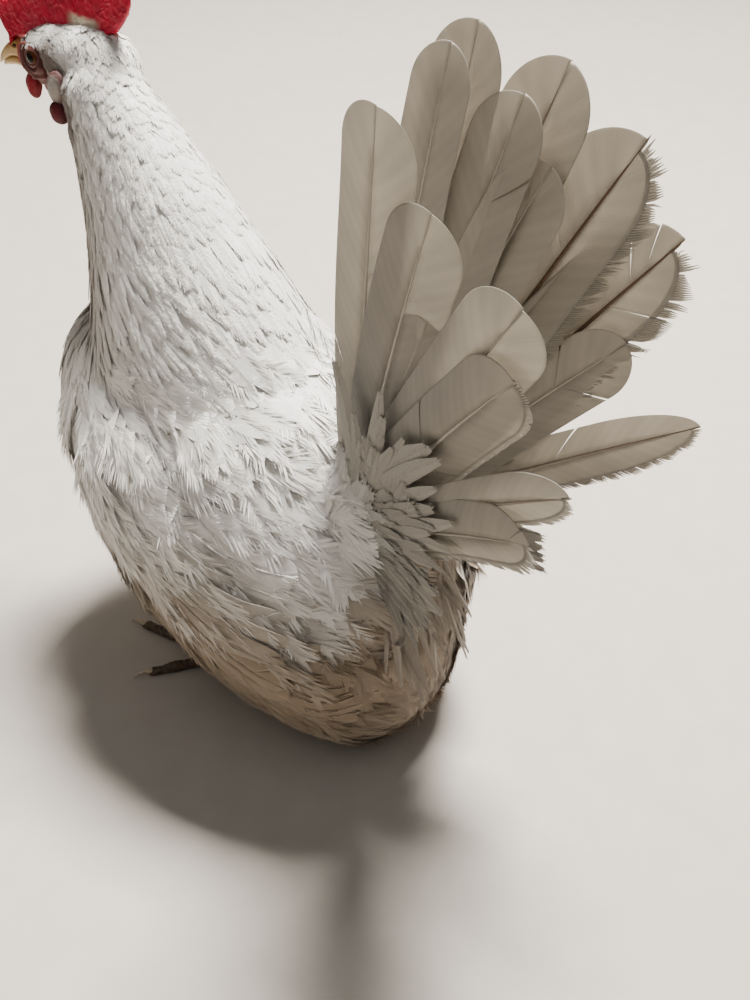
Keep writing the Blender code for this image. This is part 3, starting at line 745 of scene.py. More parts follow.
def barb_side(paths, normals, widths, sign, barbs, draw, roundness,
              frayed=0.16, angles=(46, 19), strand=1.0, loose=0.1):
    """The loose barbs on one side of each small feather, five points each: wide, narrower, tip."""
    t = np.linspace(0.1, 0.985, barbs)[None] + draw.uniform(-0.4, 0.4, (len(paths), barbs)) / barbs
    t = np.clip(t, 0.05, 0.995)
    at = along_path(paths, t)
    tangent = unit(along_path(ways_along(paths, 1), t))
    normal = unit(along_path(normals, t))
    side = sign * unit(np.cross(normal, tangent))
    lean = np.radians(angles[0] + (angles[1] - angles[0]) * t + draw.normal(0, 4, t.shape))
    reach = widths[:, None] / 2 * (loose + (1.1 - loose) * feather_width(t, roundness))
    reach = reach / np.maximum(np.sin(lean), 0.5)
    reach = (reach * (1 - frayed * draw.random(t.shape) ** 2 * 2))[..., None]
    way = tangent * np.cos(lean)[..., None] + side * np.sin(lean)[..., None]
    lift = draw.uniform(0.03, 0.16, t.shape)[..., None]
    wide = strand * (0.04 * widths[:, None] + 0.03) * draw.uniform(0.8, 1.3, t.shape)
    across = np.cross(normal, way) * wide[..., None]
    curl = draw.uniform(-0.05, 0.12, t.shape)[..., None] * reach
    start = at + normal * (lift + 0.08)
    middle = at + way * reach * 0.55 + normal * (lift - CAMBER * reach * 0.4)
    tip = at + (way * 0.97 + tangent * 0.12) * reach + normal * (curl - CAMBER * reach)
    corners = (start - across, start + across, middle - across * 1.05, middle + across * 1.05, tip)
    return np.stack(corners, 2)


def feather_barbs(strands, colours, draw):
    """The same arrays as feather_cores() for strands (feathers, sides, barbs, 5, 3)."""
    count, _, barbs = strands.shape[:3]
    total = count * 2 * barbs
    faces = np.arange(total)[:, None, None] * 5 + np.array([[0, 1, 3], [0, 3, 2], [2, 3, 4]])
    shade = draw.uniform(0.93, 1.05, (count, 2, barbs, 1, 1))
    fade = np.array([0.95, 0.95, 1.0, 1.0, 1.04])[:, None]
    tints = (colours[:, None, None, None, :] * shade * fade).reshape(-1, 3)
    uv = np.tile([[0, 0], [0, 0.1], [0.5, 0], [0.5, 0.1], [1, 0]], (total, 1))
    return strands.reshape(-1, 3), faces.reshape(-1, 3), tints, uv, np.repeat(np.arange(count), 2 * barbs * 5)


def feathers(name, look, paths, normals, widths, colours, places, draw, barbs,
             core=0.9, roundness=0.6, **style):
    """Vanes: each is a thin closed core with loose barbs over it and out to its edge.

    places are the roots' spots on the skin's unwrap.
    """
    share = np.linspace(0, 1, paths.shape[1])
    half = widths[:, None] / 2 * feather_width(share * 0.97, roundness)[None] * core
    strands = np.stack([
        barb_side(paths, normals, widths, sign, barbs, draw, roundness, **style) for sign in (-1, 1)
    ], 1)
    points, faces, tints, uv, owner = joined([
        feather_cores(paths, normals, half, colours), feather_barbs(strands, colours, draw),
    ])
    maps = {"Barbs": uv, "OFBake": patch_round(places[owner])}
    return mesh_piece(name, points, faces, look, False, tints, maps)


def near_face(local):
    """Most beside the edge of the bare face, and 0 out of its shade's reach, in head lengths."""
    spot = local[..., (0, 2)]
    near = np.full(spot.shape[:-1], 99.0)
    for start, stop in zip(np.array(FACE_EDGE[:-1]), np.array(FACE_EDGE[1:])):
        run = stop - start
        part = clamp((spot - start) @ run / (run @ run))[..., None]
        near = np.minimum(near, np.linalg.norm(spot - start - part * run, axis=-1))
    return 0.92 * clamp(1.3 - near / FACE_SHADE_REACH) * (np.abs(local[..., 1]) > 4)


def coat_tint(points):
    """The coat's colour over the bird: warm white, with painted shade on the neck's front and beside the bare
    face, and a brown low on the flanks, underside and rear that is part stain and part painted shade.
    """
    points = np.asarray(points, float)
    x, y, z = points[..., 0], points[..., 1], points[..., 2]
    tint = np.broadcast_to(WHITE, points.shape).copy()
    # Painted brown below: part stain and part painted shade on the underside, painted shade up the lower
    # flanks and on the rear by the tail's foot.
    stain_and_shade = clamp((70 - z) / 40)
    flank = clamp((np.abs(y) - 18) / 34) * clamp((126 - z + 8 * noise(points, 22.0, 63)) / 42)
    rear = 0.95 * clamp((x - 54 - 0.4 * (z - 98)) / 16) * clamp((152 - z) / 10)
    stain_and_shade = np.maximum(np.maximum(stain_and_shade, flank), rear)[..., None]
    tint = blend(tint, STAIN_AND_SHADE_BROWN, stain_and_shade)
    up_neck = (points - NECK_BASE) @ NECK_AXIS
    ahead = NECK_BASE[0] + up_neck * NECK_AXIS[0] - points[..., 0]
    # Painted shade down the neck's front.
    painted_throat_shade = clamp((ahead + 3) / 12) * clamp((up_neck - 30) / 55)
    painted_throat_shade = 0.6 * (painted_throat_shade * clamp(1.5 - 1.5 * head_share(points)))
    tint = blend(tint, THROAT_PAINTED_SHADE, painted_throat_shade[..., None])
    tint = blend(tint, FACE_SHADE, near_face(to_head(points))[..., None])
    return tint * (1 + 0.045 * noise(points, 11.0, 61))[..., None]


def make_skin(look):
    """One skin for the whole body, inside the coat by its depth."""
    depth = coat_depth(HULL_POINTS)
    points = HULL_POINTS - HULL_NORMALS * depth[:, None]
    return mesh_piece("skin", points, HULL_FACES, look, colours=coat_tint(HULL_POINTS) * 0.95)


def around_eye(local, side):
    """Distance from the eye's middle over the side view of the head."""
    distance = np.hypot((local[..., 0] - EYE_AT[0]) / 1.08, local[..., 2] - EYE_AT[2])
    return distance + 50.0 * (local[..., 1] * side < 0)


def bump_at(distance, width):
    return np.exp(-(distance / width) ** 2)


def make_face(look):
    """The bare skin of the face: socket, brow, cheek folds, mouth corner and fine bumps."""
    grid = head_tube(SKULL_ROWS, 150, 140)
    normals = grid_normals(grid)
    forward, left, up = grid[..., 0], grid[..., 1], grid[..., 2]
    push = 0.16 * noise(grid, 1.1, 5) + 0.10 * noise(grid, 0.5, 6)
    for side in (-1, 1):
        eye = around_eye(grid, side)
        push += 0.75 * bump_at(eye - 5.3, 0.8)
        push -= 0.55 * bump_at(eye - 7.0, 0.8)
        push += 0.35 * bump_at(eye - 8.2, 0.9)
        push -= 3.2 * bump_at(eye, 3.0)
        on_side = left * side > 0
        mouth = up + 3.4 + 0.035 * (forward - 14) ** 2 * (forward < 14)
        push -= 0.75 * bump_at(mouth, 0.35) * on_side * (forward > 5)
        push += 0.35 * bump_at(mouth - 1.0, 0.6) * on_side * (forward > 5)
        push += 0.35 * bump_at(mouth + 1.1, 0.7) * on_side * (forward > 5)
        fold = up + 7.0 + 0.25 * (forward - 2)
        push += 0.35 * np.sin(fold * 2.6) * bump_at(fold, 2.2) * on_side * (forward < 10)
    bare_edge = bare_amount(grid)
    points = grid + normals * (push * bare_edge - 2.6 * (1 - bare_edge))[..., None]
    eye = np.minimum(around_eye(grid, -1), around_eye(grid, 1))
    # The face's skin is painted a dark red-brown as painted shade over it; the pink on the brow is a painted
    # sunlit highlight, the darker patches round the eye and towards the rear are painted shade, and the red
    # by the beak is its own colour.
    tint = np.broadcast_to(np.array([0.13, 0.032, 0.027]), grid.shape)
    for amount, colour in (
        (clamp((up - 3.5) / 3) * clamp((forward + 6) / 4), (0.36, 0.115, 0.10)),
        (clamp((forward - 10.5) / 2.5), (0.34, 0.010, 0.018)),
        (clamp((-6.5 - forward) / 2.5), (0.09, 0.036, 0.03)),
        (bump_at(eye - 3.5, 2.4), (0.06, 0.014, 0.012)),
    ):
        tint = blend(tint, np.array(colour), amount[..., None])
    tint = tint * (1 + 0.2 * noise(grid, 1.2, 7))[..., None]
    return grids_piece("face_skin", [from_head(points)], look, tint)


def make_lids(look):
    """Two lids over the eyeball that meet in corners before and behind."""
    turn = circle(72)
    opening = np.radians(47 - 13 * np.abs(np.sin(turn)) ** 1.3)
    rings = [(opening + np.radians(2), EYE_RADIUS - 0.5), (opening + np.radians(2), EYE_RADIUS + 0.02)]
    for share in np.linspace(0, 1, 12):
        crease = 0.10 * np.sin(share * 19) * (1 - share)
        radius = EYE_RADIUS + 0.18 + 0.42 * math.sin(min(share * 5, 1) * math.pi / 2) + crease
        rings.append((opening + (np.radians(80) - opening) * share, radius))
    sheets = []
    for _, side in SIDES:
        sheet = np.array([np.stack([
            EYE_AT[0] + radius * np.sin(tilt) * np.cos(turn),
            EYE_AT[1] * side + side * radius * np.cos(tilt),
            EYE_AT[2] + radius * np.sin(tilt) * np.sin(turn),
        ], -1) for tilt, radius in rings])
        sheets.append(from_head(sheet))
    return grids_piece("lids", sheets, look)


def ellipsoid(centre, radii, rows, columns):
    tilt = np.linspace(0.001, math.pi - 0.001, rows)[:, None]
    turn = circle(columns)[None]
    return np.stack([
        centre[0] + radii[0] * np.sin(tilt) * np.cos(turn),
        centre[1] + radii[1] * np.sin(tilt) * np.sin(turn),
        centre[2] + radii[2] * np.cos(tilt) * np.ones_like(turn),
    ], -1)


def make_eye(name, side, look):
    """An eyeball coloured from its own axis: black pupil, dark brown iris, darker rim."""
    centre = np.array([EYE_AT[0], EYE_AT[1] * side, EYE_AT[2]])
    grid = ellipsoid(centre, [EYE_RADIUS] * 3, 90, 96)
    away = np.degrees(np.arccos(np.clip((grid[..., 1] - centre[1]) * side / EYE_RADIUS, -1, 1)))
    turn = np.arctan2(grid[..., 2] - centre[2], grid[..., 0] - centre[0])
    fibres = 0.5 + 0.5 * np.sin(turn * 46 + away * 0.6) * np.sin(turn * 17)
    iris = np.array([0.11, 0.035, 0.012]) * (0.55 + 0.7 * fibres[..., None])
    pupil = np.array([0.004, 0.004, 0.004])
    rim = np.array([0.03, 0.014, 0.012])
    inside = clamp((away - 24) / 2.5)[..., None]
    outside = clamp((away - 40) / 4)[..., None]
    tint = blend(blend(pupil, iris, inside), rim, outside)
    bulge = 1 + 0.05 * np.exp(-(away / 30) ** 2)
    grid = centre + (grid - centre) * bulge[..., None]
    return grids_piece("eye_" + name + "_ball", [from_head(grid)], look, tint)


def make_beak(look, dark):
    """Both halves of the beak with growth lines, and a nostril in a pit on each side."""
    for name, rows in (("beak_upper", UPPER_BEAK_ROWS), ("beak_lower", LOWER_BEAK_ROWS)):
        grid = head_tube(rows, 90, 72)
        normals = grid_normals(grid)
        forward, left, up = grid[..., 0], grid[..., 1], grid[..., 2]
        push = 0.05 * np.sin(forward * 5.2 + 0.6 * np.sin(left * 1.3)) + 0.05 * noise(grid, 1.4, 8)
        middle = up.mean(1, keepdims=True)
        height = np.abs(up - middle).max(1, keepdims=True)
        closing = (up < middle) if name == "beak_upper" else (up > middle)
        flat = middle + height * np.sign(up - middle) * (np.abs(up - middle) / height) ** 0.45
        grid[..., 2] = np.where(closing, flat, up)
        if name == "beak_upper":
            top = np.clip(up - np.interp(forward[:, 0], [11, 32], [1, -7])[:, None], 0, 3)
            push += 0.14 * top * bump_at(left, 0.9)
            for side in (-1, 1):
                pit = np.hypot((forward - 18.2) / 1.7, (up - 2.1) / 0.75) + 9 * (left * side < 0)
                push -= 0.85 * bump_at(pit, 0.75)
                push += 0.28 * bump_at(pit - 1.35, 0.45)
        points = grid + normals * push[..., None]
        tip = clamp((forward - 14) / 17)[..., None]
        tint = blend(HORN, HORN_TIP, tip)
        tint = tint * (0.9 + 0.1 * np.sin(forward * 5.2))[..., None]
        ride(grids_piece(name + "_horn", [from_head(points)], look, tint), "beak_horn", name)
    for name, left in (("nostril_right", -1), ("nostril_left", 1)):
        grid = ellipsoid((18.2, 3.35 * left, 2.1), (1.25, 0.5, 0.42), 16, 24)
        ride(grids_piece(name, [from_head(grid)], dark), "beak_horn")


def make_comb(look):
    """A fleshy single comb: rounded edges, a thick foot, shallow furrows and a grain of small bumps."""
    columns, rows = 260, 56
    line = smooth_rows(COMB_COLUMNS, columns)
    sides = []
    for side in (-1, 1):
        share = np.linspace(0, 1, rows)[None]
        forward = line[:, 0:1] + (line[:, 2:3] - line[:, 0:1]) * share
        up = line[:, 1:2] + (line[:, 3:4] - line[:, 1:2]) * share
        ends = np.sin(clamp(np.linspace(0, 1, columns) / 0.05) * math.pi / 2)
        ends *= np.sin(clamp((1 - np.linspace(0, 1, columns)) / 0.05) * math.pi / 2)
        front = clamp((line[:, 0:1] - 10) / 12) * (1 - share) ** 2
        half = (2.6 - 1.3 * share + 1.6 * front) * np.sqrt(clamp(1 - share ** 8)) * ends[:, None]
        furrow = 0.10 * np.sin(np.linspace(0, 1, columns)[:, None] * 75 + 1.5 * share) * (1 - share)
        left = side * np.maximum(half + furrow * (half > 0.6), 0.02)
        left = left + 1.2 * np.sin(forward * 0.11) * share
        sheet = np.stack([forward, left, up], -1)
        bumps = 0.55 * np.abs(noise(sheet, 1.6, 21)) + 0.40 * np.abs(noise(sheet, 0.6, 24)) - 0.25
        sheet += np.stack([0 * left, side * bumps * np.minimum(half, 1), 0.06 * noise(sheet, 0.7, 22)], -1)
        sides.append(sheet)
    near = np.arange(columns - 1) * rows
    far = near + columns * rows
    below = np.stack([near, near + rows, far + rows, far], -1)
    one = grid_faces(columns, rows, False)
    faces = np.concatenate([one, one[:, ::-1] + columns * rows, below])
    points = np.concatenate([sheet.reshape(-1, 3) for sheet in sides])
    rear = clamp((-11 - points[:, 0]) / 4) * clamp((points[:, 0] + 30) / 4)
    rear = (rear * clamp((19.4 - points[:, 2] + noise(points, 2.0, 25)) / 2))[:, None]
    tint = blend(COMB_RED, COMB_PALE, rear)
    tint = tint * (0.86 + 0.24 * noise(points, 1.6, 23))[:, None]
    piece = mesh_piece("comb_flesh", from_head(points), faces, look, colours=tint)
    ride(piece, "red_flesh", "comb")


def make_lobe(name, node, slot, centre, look, radii, seed, folds, colour, rim):
    grid = ellipsoid(centre, radii, 60, 64)
    normals = grid_normals(grid)
    middle = np.array(centre)
    local = (grid - middle) / np.array(radii)
    push = 0.14 * noise(grid, 1.6, seed) + 0.06 * noise(grid, 0.6, seed + 1)
    push += folds * np.sin(local[..., 0] * 7 + 1.5 * local[..., 2]) * clamp(1 - np.abs(local[..., 2]))
    points = grid + normals * push[..., None]
    # Darker towards the rim: a painted shadow ring.
    edge = clamp((np.hypot(local[..., 0], local[..., 2]) - 0.45) / 0.45)[..., None]
    tint = blend(np.array(colour), np.array(rim), edge)
    ride(grids_piece(name, [from_head(points)], look, tint), slot, node)


def make_flesh(look):
    for name, side in SIDES:
        for kind, slot, (forward, out, up), *rest in LOBES:
            node = kind + "_" + name
            piece = node.replace("lobe_bulb", "bulb") + "_skin"
            make_lobe(piece, node, slot, (forward, -out * side, up), look, *rest)


def tube(line, radius, sides, above=None):
    """Grid of points round a line; above gives the way that turn = 90 degrees points."""
    line = np.asarray(line, float)
    tangent = ways_along(line)
    above = np.array([0.0, 0.0, 1.0]) if above is None else np.asarray(above, float)
    across = unit(np.cross(tangent, above))
    over = np.cross(across, tangent)
    turn = circle(sides)
    ring = across[:, None] * np.cos(turn)[None, :, None] + over[:, None] * np.sin(turn)[None, :, None]
    return line[:, None] + ring * np.reshape(radius, (-1, 1, 1)), ring, turn


def scutes(grid, ring, turn, distance, size):
    """Overlapping plates over the upper side, small round scales on the flanks and soft pads below."""
    top = clamp(np.sin(turn) * 1.6 - 0.2)[None]
    step = (distance[:, None] / SCUTE + 0.12 * np.cos(turn)[None] ** 2) % 1.0
    plate = (0.34 * step ** 0.7 - 0.16) * top
    flank = 0.16 * noise(grid, 0.75, 41) * (1 - top)
    return grid + ring * ((plate + flank) * np.reshape(size, (-1, 1)) / 3.0)[..., None]


def toe_way(turn, side):
    angle = FOOT_YAW - math.radians(turn)
    return np.array([-math.cos(angle), math.sin(angle) * side, 0.0])


def make_toe(start, way, length, radius):
    """One toe's scaled skin and its claw, as grids."""
    share = np.linspace(0, 1, 110)
    knuckles = 1 + 0.10 * np.cos(share * 6 * math.pi)
    size = radius * (1.15 - 0.42 * share) * knuckles
    size = size * np.sqrt(clamp((1.035 - share) / 0.10))
    line = start + way * (length * share)[:, None]
    line[:, 2] = size * 0.88 + SOLE_GAP
    grid, ring, angles = tube(line, size, 40)
    toe = scutes(grid, ring, angles, share * length, size)
    toe[..., 2] = np.maximum(toe[..., 2], SOLE_LOW)
    share = np.linspace(0, 1, 40)
    line = start + way * (length - 2.5) + way * ((CLAW_LENGTH + 2.5) * share)[:, None]
    line[:, 2] = 2.3 + 1.1 * np.sin(share * math.pi) - 1.75 * share ** 2
    thick = radius * 0.52 * (1 - 0.93 * share ** 1.2) * (1 + 0.03 * np.sin(share * 50))
    return toe, tube(line, thick, 20)[0]


def make_feet(scale, horn):
    for name, side in SIDES:
        start = np.array([ANKLE[0], ANKLE[1] * side, 0.0])
        made = [make_toe(start, toe_way(turn, side), length, radius) for turn, length, radius in TOES]
        toes, claws = zip(*made)
        pad = ellipsoid((start[0], start[1], 2.4), (6.1, 6.1, 5.6), 40, 48)
        pad = pad + 0.14 * noise(pad, 0.8, 43)[..., None] * unit(pad - pad.reshape(-1, 3).mean(0))
        pad[..., 2] = np.maximum(pad[..., 2], SOLE_LOW)
        ride(grids_piece("foot_" + name + "_scales", [*toes, pad], scale), "leg_scales", "foot_" + name)
        ride(grids_piece("claws_" + name, claws, horn), "beak_horn")
        line = smooth_rows([(x, y * side, z) for x, y, z in SHANK_LINE], 90)
        size = np.full(90, SHANK_RADIUS) * (1 + 0.08 * np.cos(np.linspace(0, math.pi, 90)))
        grid, ring, angles = tube(line, size, 44, above=(-1, 0, 0))
        grid = scutes(grid, ring, angles, np.linspace(0, SHANK_LENGTH, 90), size)
        ride(grids_piece("shank_" + name + "_scales", [grid], scale), "leg_scales", "shank_" + name)


def tail_half_breadth(x, z):
    along = np.hypot(x - TAIL_ROOT[0], z - TAIL_ROOT[1])
    rise = np.degrees(np.arctan2(z - TAIL_ROOT[1], x - TAIL_ROOT[0]))
    share = clamp((95 - rise) / 70)
    lean = TAIL_TOP_LEAN + (TAIL_LOW_LEAN - TAIL_TOP_LEAN) * share
    return TAIL_INNER_Y + along * np.tan(np.radians(lean))


def vane_outline(share, tip):
    """Half width, 0 to 1, of a broad feather: a quick swell, even sides and a round end from tip on."""
    swell = clamp(share / 0.32)
    swell = 0.35 + 0.65 * swell * (2 - swell)
    end = clamp((share - tip) / (1 - tip))
    return swell * np.sqrt(clamp(1 - end ** 2))


def along_line(line, shares):
    return along_path(line[None], shares[None])[0]


def barb_shares(width, length, tip, barbs):
    """Where barbs end along a feather, evenly along its outline."""
    share = np.linspace(0.10, 1.0, 600)
    edge = width / 2 * vane_outline(share, tip)
    run = np.concatenate([[0], np.cumsum(np.hypot(np.diff(share) * length, np.diff(edge)))])
    return np.interp(np.linspace(0, run[-1], barbs), run, share)


def barb_lines(path, normal, sign, width, barbs, draw, style):
    """One side's barbs: lines (barbs, steps, 3), half widths and the splits as (rank, gap)."""
    length = length_of(path)
    side = unit(np.cross(normal, ways_along(path))) * sign
    tip = 1 - style["round"] * width / length
    ends = barb_shares(width, length, tip, barbs)
    feet = clamp(ends - style["advance"] * (1 - 0.5 * ends))
    reach = width / 2 * vane_outline(ends, tip)
    foot = along_line(path, feet)
    far = along_line(path, ends) + along_line(side, ends) * reach[:, None]
    bend = along_line(path, (feet + ends) / 2) + along_line(side, feet) * (reach * 0.58)[:, None]
    share = style["shares"][None, :, None]
    lines = foot[:, None] * (1 - share) ** 2 + 2 * bend[:, None] * share * (1 - share)
    lines = lines + far[:, None] * share ** 2
    up = along_line(normal, feet)[:, None]
    forward = along_line(ways_along(path), feet)[:, None]
    across = unit(np.cross(up, ways_along(lines, 1)))
    half = 0.53 * np.abs(np.sum(np.gradient(lines, axis=0) * across, -1)) + 0.03
    ripple = 0.55 * np.sin(np.arange(barbs) * 9.0 / barbs + draw.uniform(0, 6))
    lines = lines + up * (ripple[:, None, None] * share - style["camber"] * reach[:, None, None] * share ** 2)
    splits = []
    for rank in np.sort(draw.integers(int(0.3 * barbs), int(0.96 * barbs), style["splits"])):
        splits.append((int(rank), draw.uniform(0.3, 1.0) * style["gap"] * length))
    return lines, up, forward, across, half, feet, splits


def parted(lines, forward, share, ranks, middle, splits, reach_of):
    """The barbs of one run between splits, drawn apart from its neighbours towards their ends."""
    moved = np.zeros(len(ranks))
    for rank, gap in splits:
        moved += gap * (1 if middle > rank else -1) * np.exp(-np.abs(ranks - rank) / reach_of)
    return lines[ranks] + moved[:, None, None] * share[None, :, None] ** 1.8 * forward[ranks]


def closed_sheet(top, bottom):
    """A thin closed sheet between two grids of points, with its faces."""
    rows, columns = top.shape[:2]
    ring = np.concatenate([top, bottom[:, ::-1]], 1)
    wrapped = grid_faces(rows, 2 * columns, True)
    ends = []
    for first, turn in ((0, 1), ((rows - 1) * 2 * columns, -1)):
        for i in range(columns - 1):
            quad = [first + i, first + i + 1, first + 2 * columns - 2 - i, first + 2 * columns - 1 - i]
            ends.append(quad[::-turn])
    return ring.reshape(-1, 3), np.concatenate([wrapped, np.array(ends)])


def loose_ends(sheet, forward, across, up, half, torn, drift, fray):
    """Torn barb ends past a sheet's edge: the points of closed rods of three rings."""
    base = sheet[:, -2]
    full = sheet[:, -1] - base
    cut = 1 + (1.5 * (torn > 0.72) - 1.2 * torn)[:, None] * fray
    way = forward[:, 0] * drift[:, None]
    tips = np.stack([base - full * 0.3, base + full * cut * 0.5 + way * 0.3, base + full * cut + way], 1)
    taper = np.array([1.0, max(1.1 - fray, 0.75), max(1.1 - 4 * fray, 0.15)])
    sides = across[:, (-2, -1, -1)] * (taper[:, None] * half[:, None, None])
    rods = np.stack([tips - sides, tips + up * 0.07, tips + sides, tips - up * 0.05], 2)
    return rods.reshape(-1, 3)


def vane_side(path, normal, sign, width, barbs, draw, tone, style):
    """One side of a vane: closed sheets between its splits, and loose barb ends along its edge."""
    made = barb_lines(path, normal, sign, width, barbs, draw, style)
    lines, up, forward, across, half, feet, splits = made
    share = style["shares"]
    fray = style["fray"]
    loose = fray >= 0.05
    inner = share[:-1] if loose else share
    tuft = np.cumsum(draw.random(barbs) < 0.3)
    torn = draw.random(tuft[-1] + 1)[tuft] * 0.85 + draw.random(barbs) * 0.15
    middle = np.bincount(tuft, np.arange(barbs)) / np.bincount(tuft)
    gather = (middle[tuft] - np.arange(barbs)) * half[:, -1] * min(fray * 4, 1)
    drift = (draw.random(tuft[-1] + 1)[tuft] - 0.5) * fray * width * 0.35 + gather
    parts = []
    stops = [0, *[rank for rank, _ in splits], barbs - 1]
    for start, stop in zip(stops[:-1], stops[1:]):
        if stop - start < 3:
            continue
        run = np.arange(start, stop + 1)
        sheet = parted(lines, forward, share, run, (start + stop) / 2, splits, 0.05 * barbs)
        lift = up[run] * 0.05
        flat = sheet[:, :len(inner)]
        across_share = np.concatenate([inner, inner[::-1]])
        parts.append((
            *closed_sheet(flat + lift, flat - lift),
            np.tile(across_share, len(run)), np.repeat(feet[run], len(across_share)),
        ))
        if loose:
            barb = (part[run] for part in (forward, across, up, half[:, -2], torn, drift))
            rods = loose_ends(sheet, *barb, fray)
            ends = np.tile(np.repeat([0.9, 0.95, 1.0], 4), len(run))
            parts.append((rods, rod_faces(len(run), 3), ends, np.repeat(feet[run], 12)))
    points, faces, shares, ranks = joined(parts)
    bars = 1 + 0.03 * np.sin(ranks * 61 + 2.0 * shares) + 0.03 * np.sin(ranks * 173)
    # The last factor darkens each vane towards its foot: painted shade where the feathers overlap at their
    # roots.
    bars = bars * (1 + 0.07 * noise(points, 9.0, 73)) * (0.76 + 0.30 * ranks)
    tints = tone * (bars * (1.02 - 0.05 * shares))[:, None]
    return points, faces, tints, np.stack([ranks * style["lines"], shares], -1)


def long_vane(path, normal, width, barbs, draw, tone, dark, **given):
    """One big feather: a vane with splits and frayed ends on both sides of a tapered shaft.

    Gives (points, faces, tints, barb map) of the vane and the same of its shaft.
    """
    style = {
        "splits": 1, "gap": 0.005, "fray": 0.06, "round": 0.62, "advance": 0.17, "camber": 0.13,
        "stem": 1.0, "lines": 60.0, "worn": 0,
    }
    style.update(given)
    halves = []
    fray = style["fray"]
    for sign in (-1, 1):
        style["fray"] = fray * (0.12 if style["worn"] == -sign else 1.0)
        edge = 0.97 - style["fray"]
        style["shares"] = np.array([0, 0.28 * edge, 0.55 * edge, 0.8 * edge, edge, 1.0])
        halves.append(vane_side(path, normal, sign, width, barbs, draw, tone, style))
    shares = np.linspace(0, 1, len(path))
    thick = style["stem"] * (0.80 * (1 - shares) ** 0.8 + 0.12)
    grid, _, _ = tube(path + normal * 0.05, thick, 10, above=(0.0, 1.0, 0.0))
    depth = clamp(dark * (1.3 * shares + 0.3))[:, None]
    colour = blend(tone * 0.92, SHAFT_BROWN, depth)
    shaft_tint = np.repeat(colour[:, None], 10, axis=1).reshape(-1, 3)
    shaft = (grid.reshape(-1, 3), grid_faces(len(path), 10, True), shaft_tint, np.zeros((len(path) * 10, 2)))
    return joined(halves), shaft


def length_of(path):
    return float(np.linalg.norm(np.diff(path, axis=0), axis=1).sum())


def ride_vanes(node, parts, spots, looks):
    """Joins the feathers' vanes in one piece and their shafts in another."""
    for kind, look, made, nodes in zip(("_vanes", "_shafts"), looks, zip(*parts), ((node,), ())):
        points, faces, tints, barbs, bake = joined([
            (*part, patch_round(np.tile(spot, (len(part[0]), 1)))) for part, spot in zip(made, spots)
        ])
        maps = {"Barbs": barbs, "OFBake": bake}
        ride(mesh_piece(node + kind, points, faces, look, True, tints, maps), "flight_feathers", *nodes)


def tail_path(tip, side, height, draw):
    """A feather's middle line over the tail's tent, bowed a little back towards its tip."""
    share = np.linspace(0, 1, 26)
    run = np.array(tip, float) - TAIL_ROOT
    x = TAIL_ROOT[0] + run[0] * share
    z = TAIL_ROOT[1] + run[1] * share
    bow = draw.uniform(1.0, 3.5) * np.sin(share * math.pi)
    along = unit(run)
    x, z = x - along[1] * bow, z + along[0] * bow
    y = tail_half_breadth(x, z) + height + draw.uniform(-0.6, 0.6) * share ** 2
    path = np.stack([x, side * y, z], -1)
    tangent = ways_along(path)
    out = np.array([0.0, side, 0.0])
    normal = unit(out - tangent * (tangent @ out)[:, None])
    return path, normal


def make_tail(*looks):
    draw = np.random.default_rng(71)
    for name, side in SIDES:
        parts = []
        for x, z, width, layer, dark, fray in TAIL_FEATHERS[name]:
            path, normal = tail_path((x, z), side, 9.5 - layer * TAIL_LAYER, draw)
            # The left half is painted a tenth darker: painted shade on that side.
            tone = VANE * draw.uniform(0.93, 1.05) * (0.9 if name == "left" else 1.0)
            parts.append(long_vane(
                path, normal, width, 170, draw, tone, dark, fray=fray, worn=side, stem=1 + 0.6 * dark,
                splits=2 if fray > 0.2 else 1, round=1.5 if width < 23 else 0.62,
            ))
        spots = [(0.06 + 0.055 * i, 0.2) for i in range(len(parts))]
        ride_vanes("tail_" + name, parts, spots, looks)


def make_plumes(look):
    """Soft feathers that fan from the tail's foot over both its sides."""
    draw = np.random.default_rng(75)
    share = np.linspace(0, 1, 8)[None]
    for name, side in SIDES:
        turn = np.radians(draw.uniform(*PLUME_TURN, PLUMES))[:, None]
        order = np.sort(draw.random(PLUMES))[:, None]
        reach = PLUME_REACH[1] + (PLUME_REACH[0] - PLUME_REACH[1]) * order ** 0.8
        reach = reach * draw.uniform(0.72, 1.18, (PLUMES, 1)) * (0.6 + 0.4 * np.sin(np.clip(turn, 0, 2)) ** 2)
        bend = draw.normal(0, 0.16, (PLUMES, 1)) * share
        along = 4 + reach * share
        x = TAIL_ROOT[0] + 2 + along * np.cos(turn + bend)
        z = TAIL_ROOT[1] + 6 + along * np.sin(turn + bend)
        height = 9.9 + 2.2 * order + draw.uniform(-0.6, 0.5, (PLUMES, 1)) * share
        y = side * (tail_half_breadth(x, z) + height)
        paths = np.stack([x, y, z], -1)
        tangents = ways_along(paths, 1)
        out = np.array([0.0, side, 0.0])
        normals = unit(out - tangents * (tangents @ out)[..., None])
        widths = draw.uniform(*PLUME_WIDTH, PLUMES)
        # The plumes are painted a dim grey-brown from the vane tone, darker than the coat's white: painted
        # shade at the tail's foot; the shortest ones, near the body, are blended back towards a pale white.
        light = clamp(order * 3.0 - 2.2) * (np.cos(turn) < 0.9)
        tints = blend(VANE * (0.62 - 0.14 * order), 0.75 * WHITE, light)
        tints = tints * draw.uniform(0.9, 1.06, (PLUMES, 1))
        spots = np.column_stack([0.06 + 0.4 * order[:, 0], 0.5 + 0.1 * draw.random(PLUMES)])
        piece = feathers("tail_" + name + "_plumes", look, paths, normals, widths, tints, spots, draw,
                         36, 0.8, roundness=0.45, frayed=0.34, strand=0.5, loose=0.14, angles=(38, 15))
        ride(piece, "white_feathers")


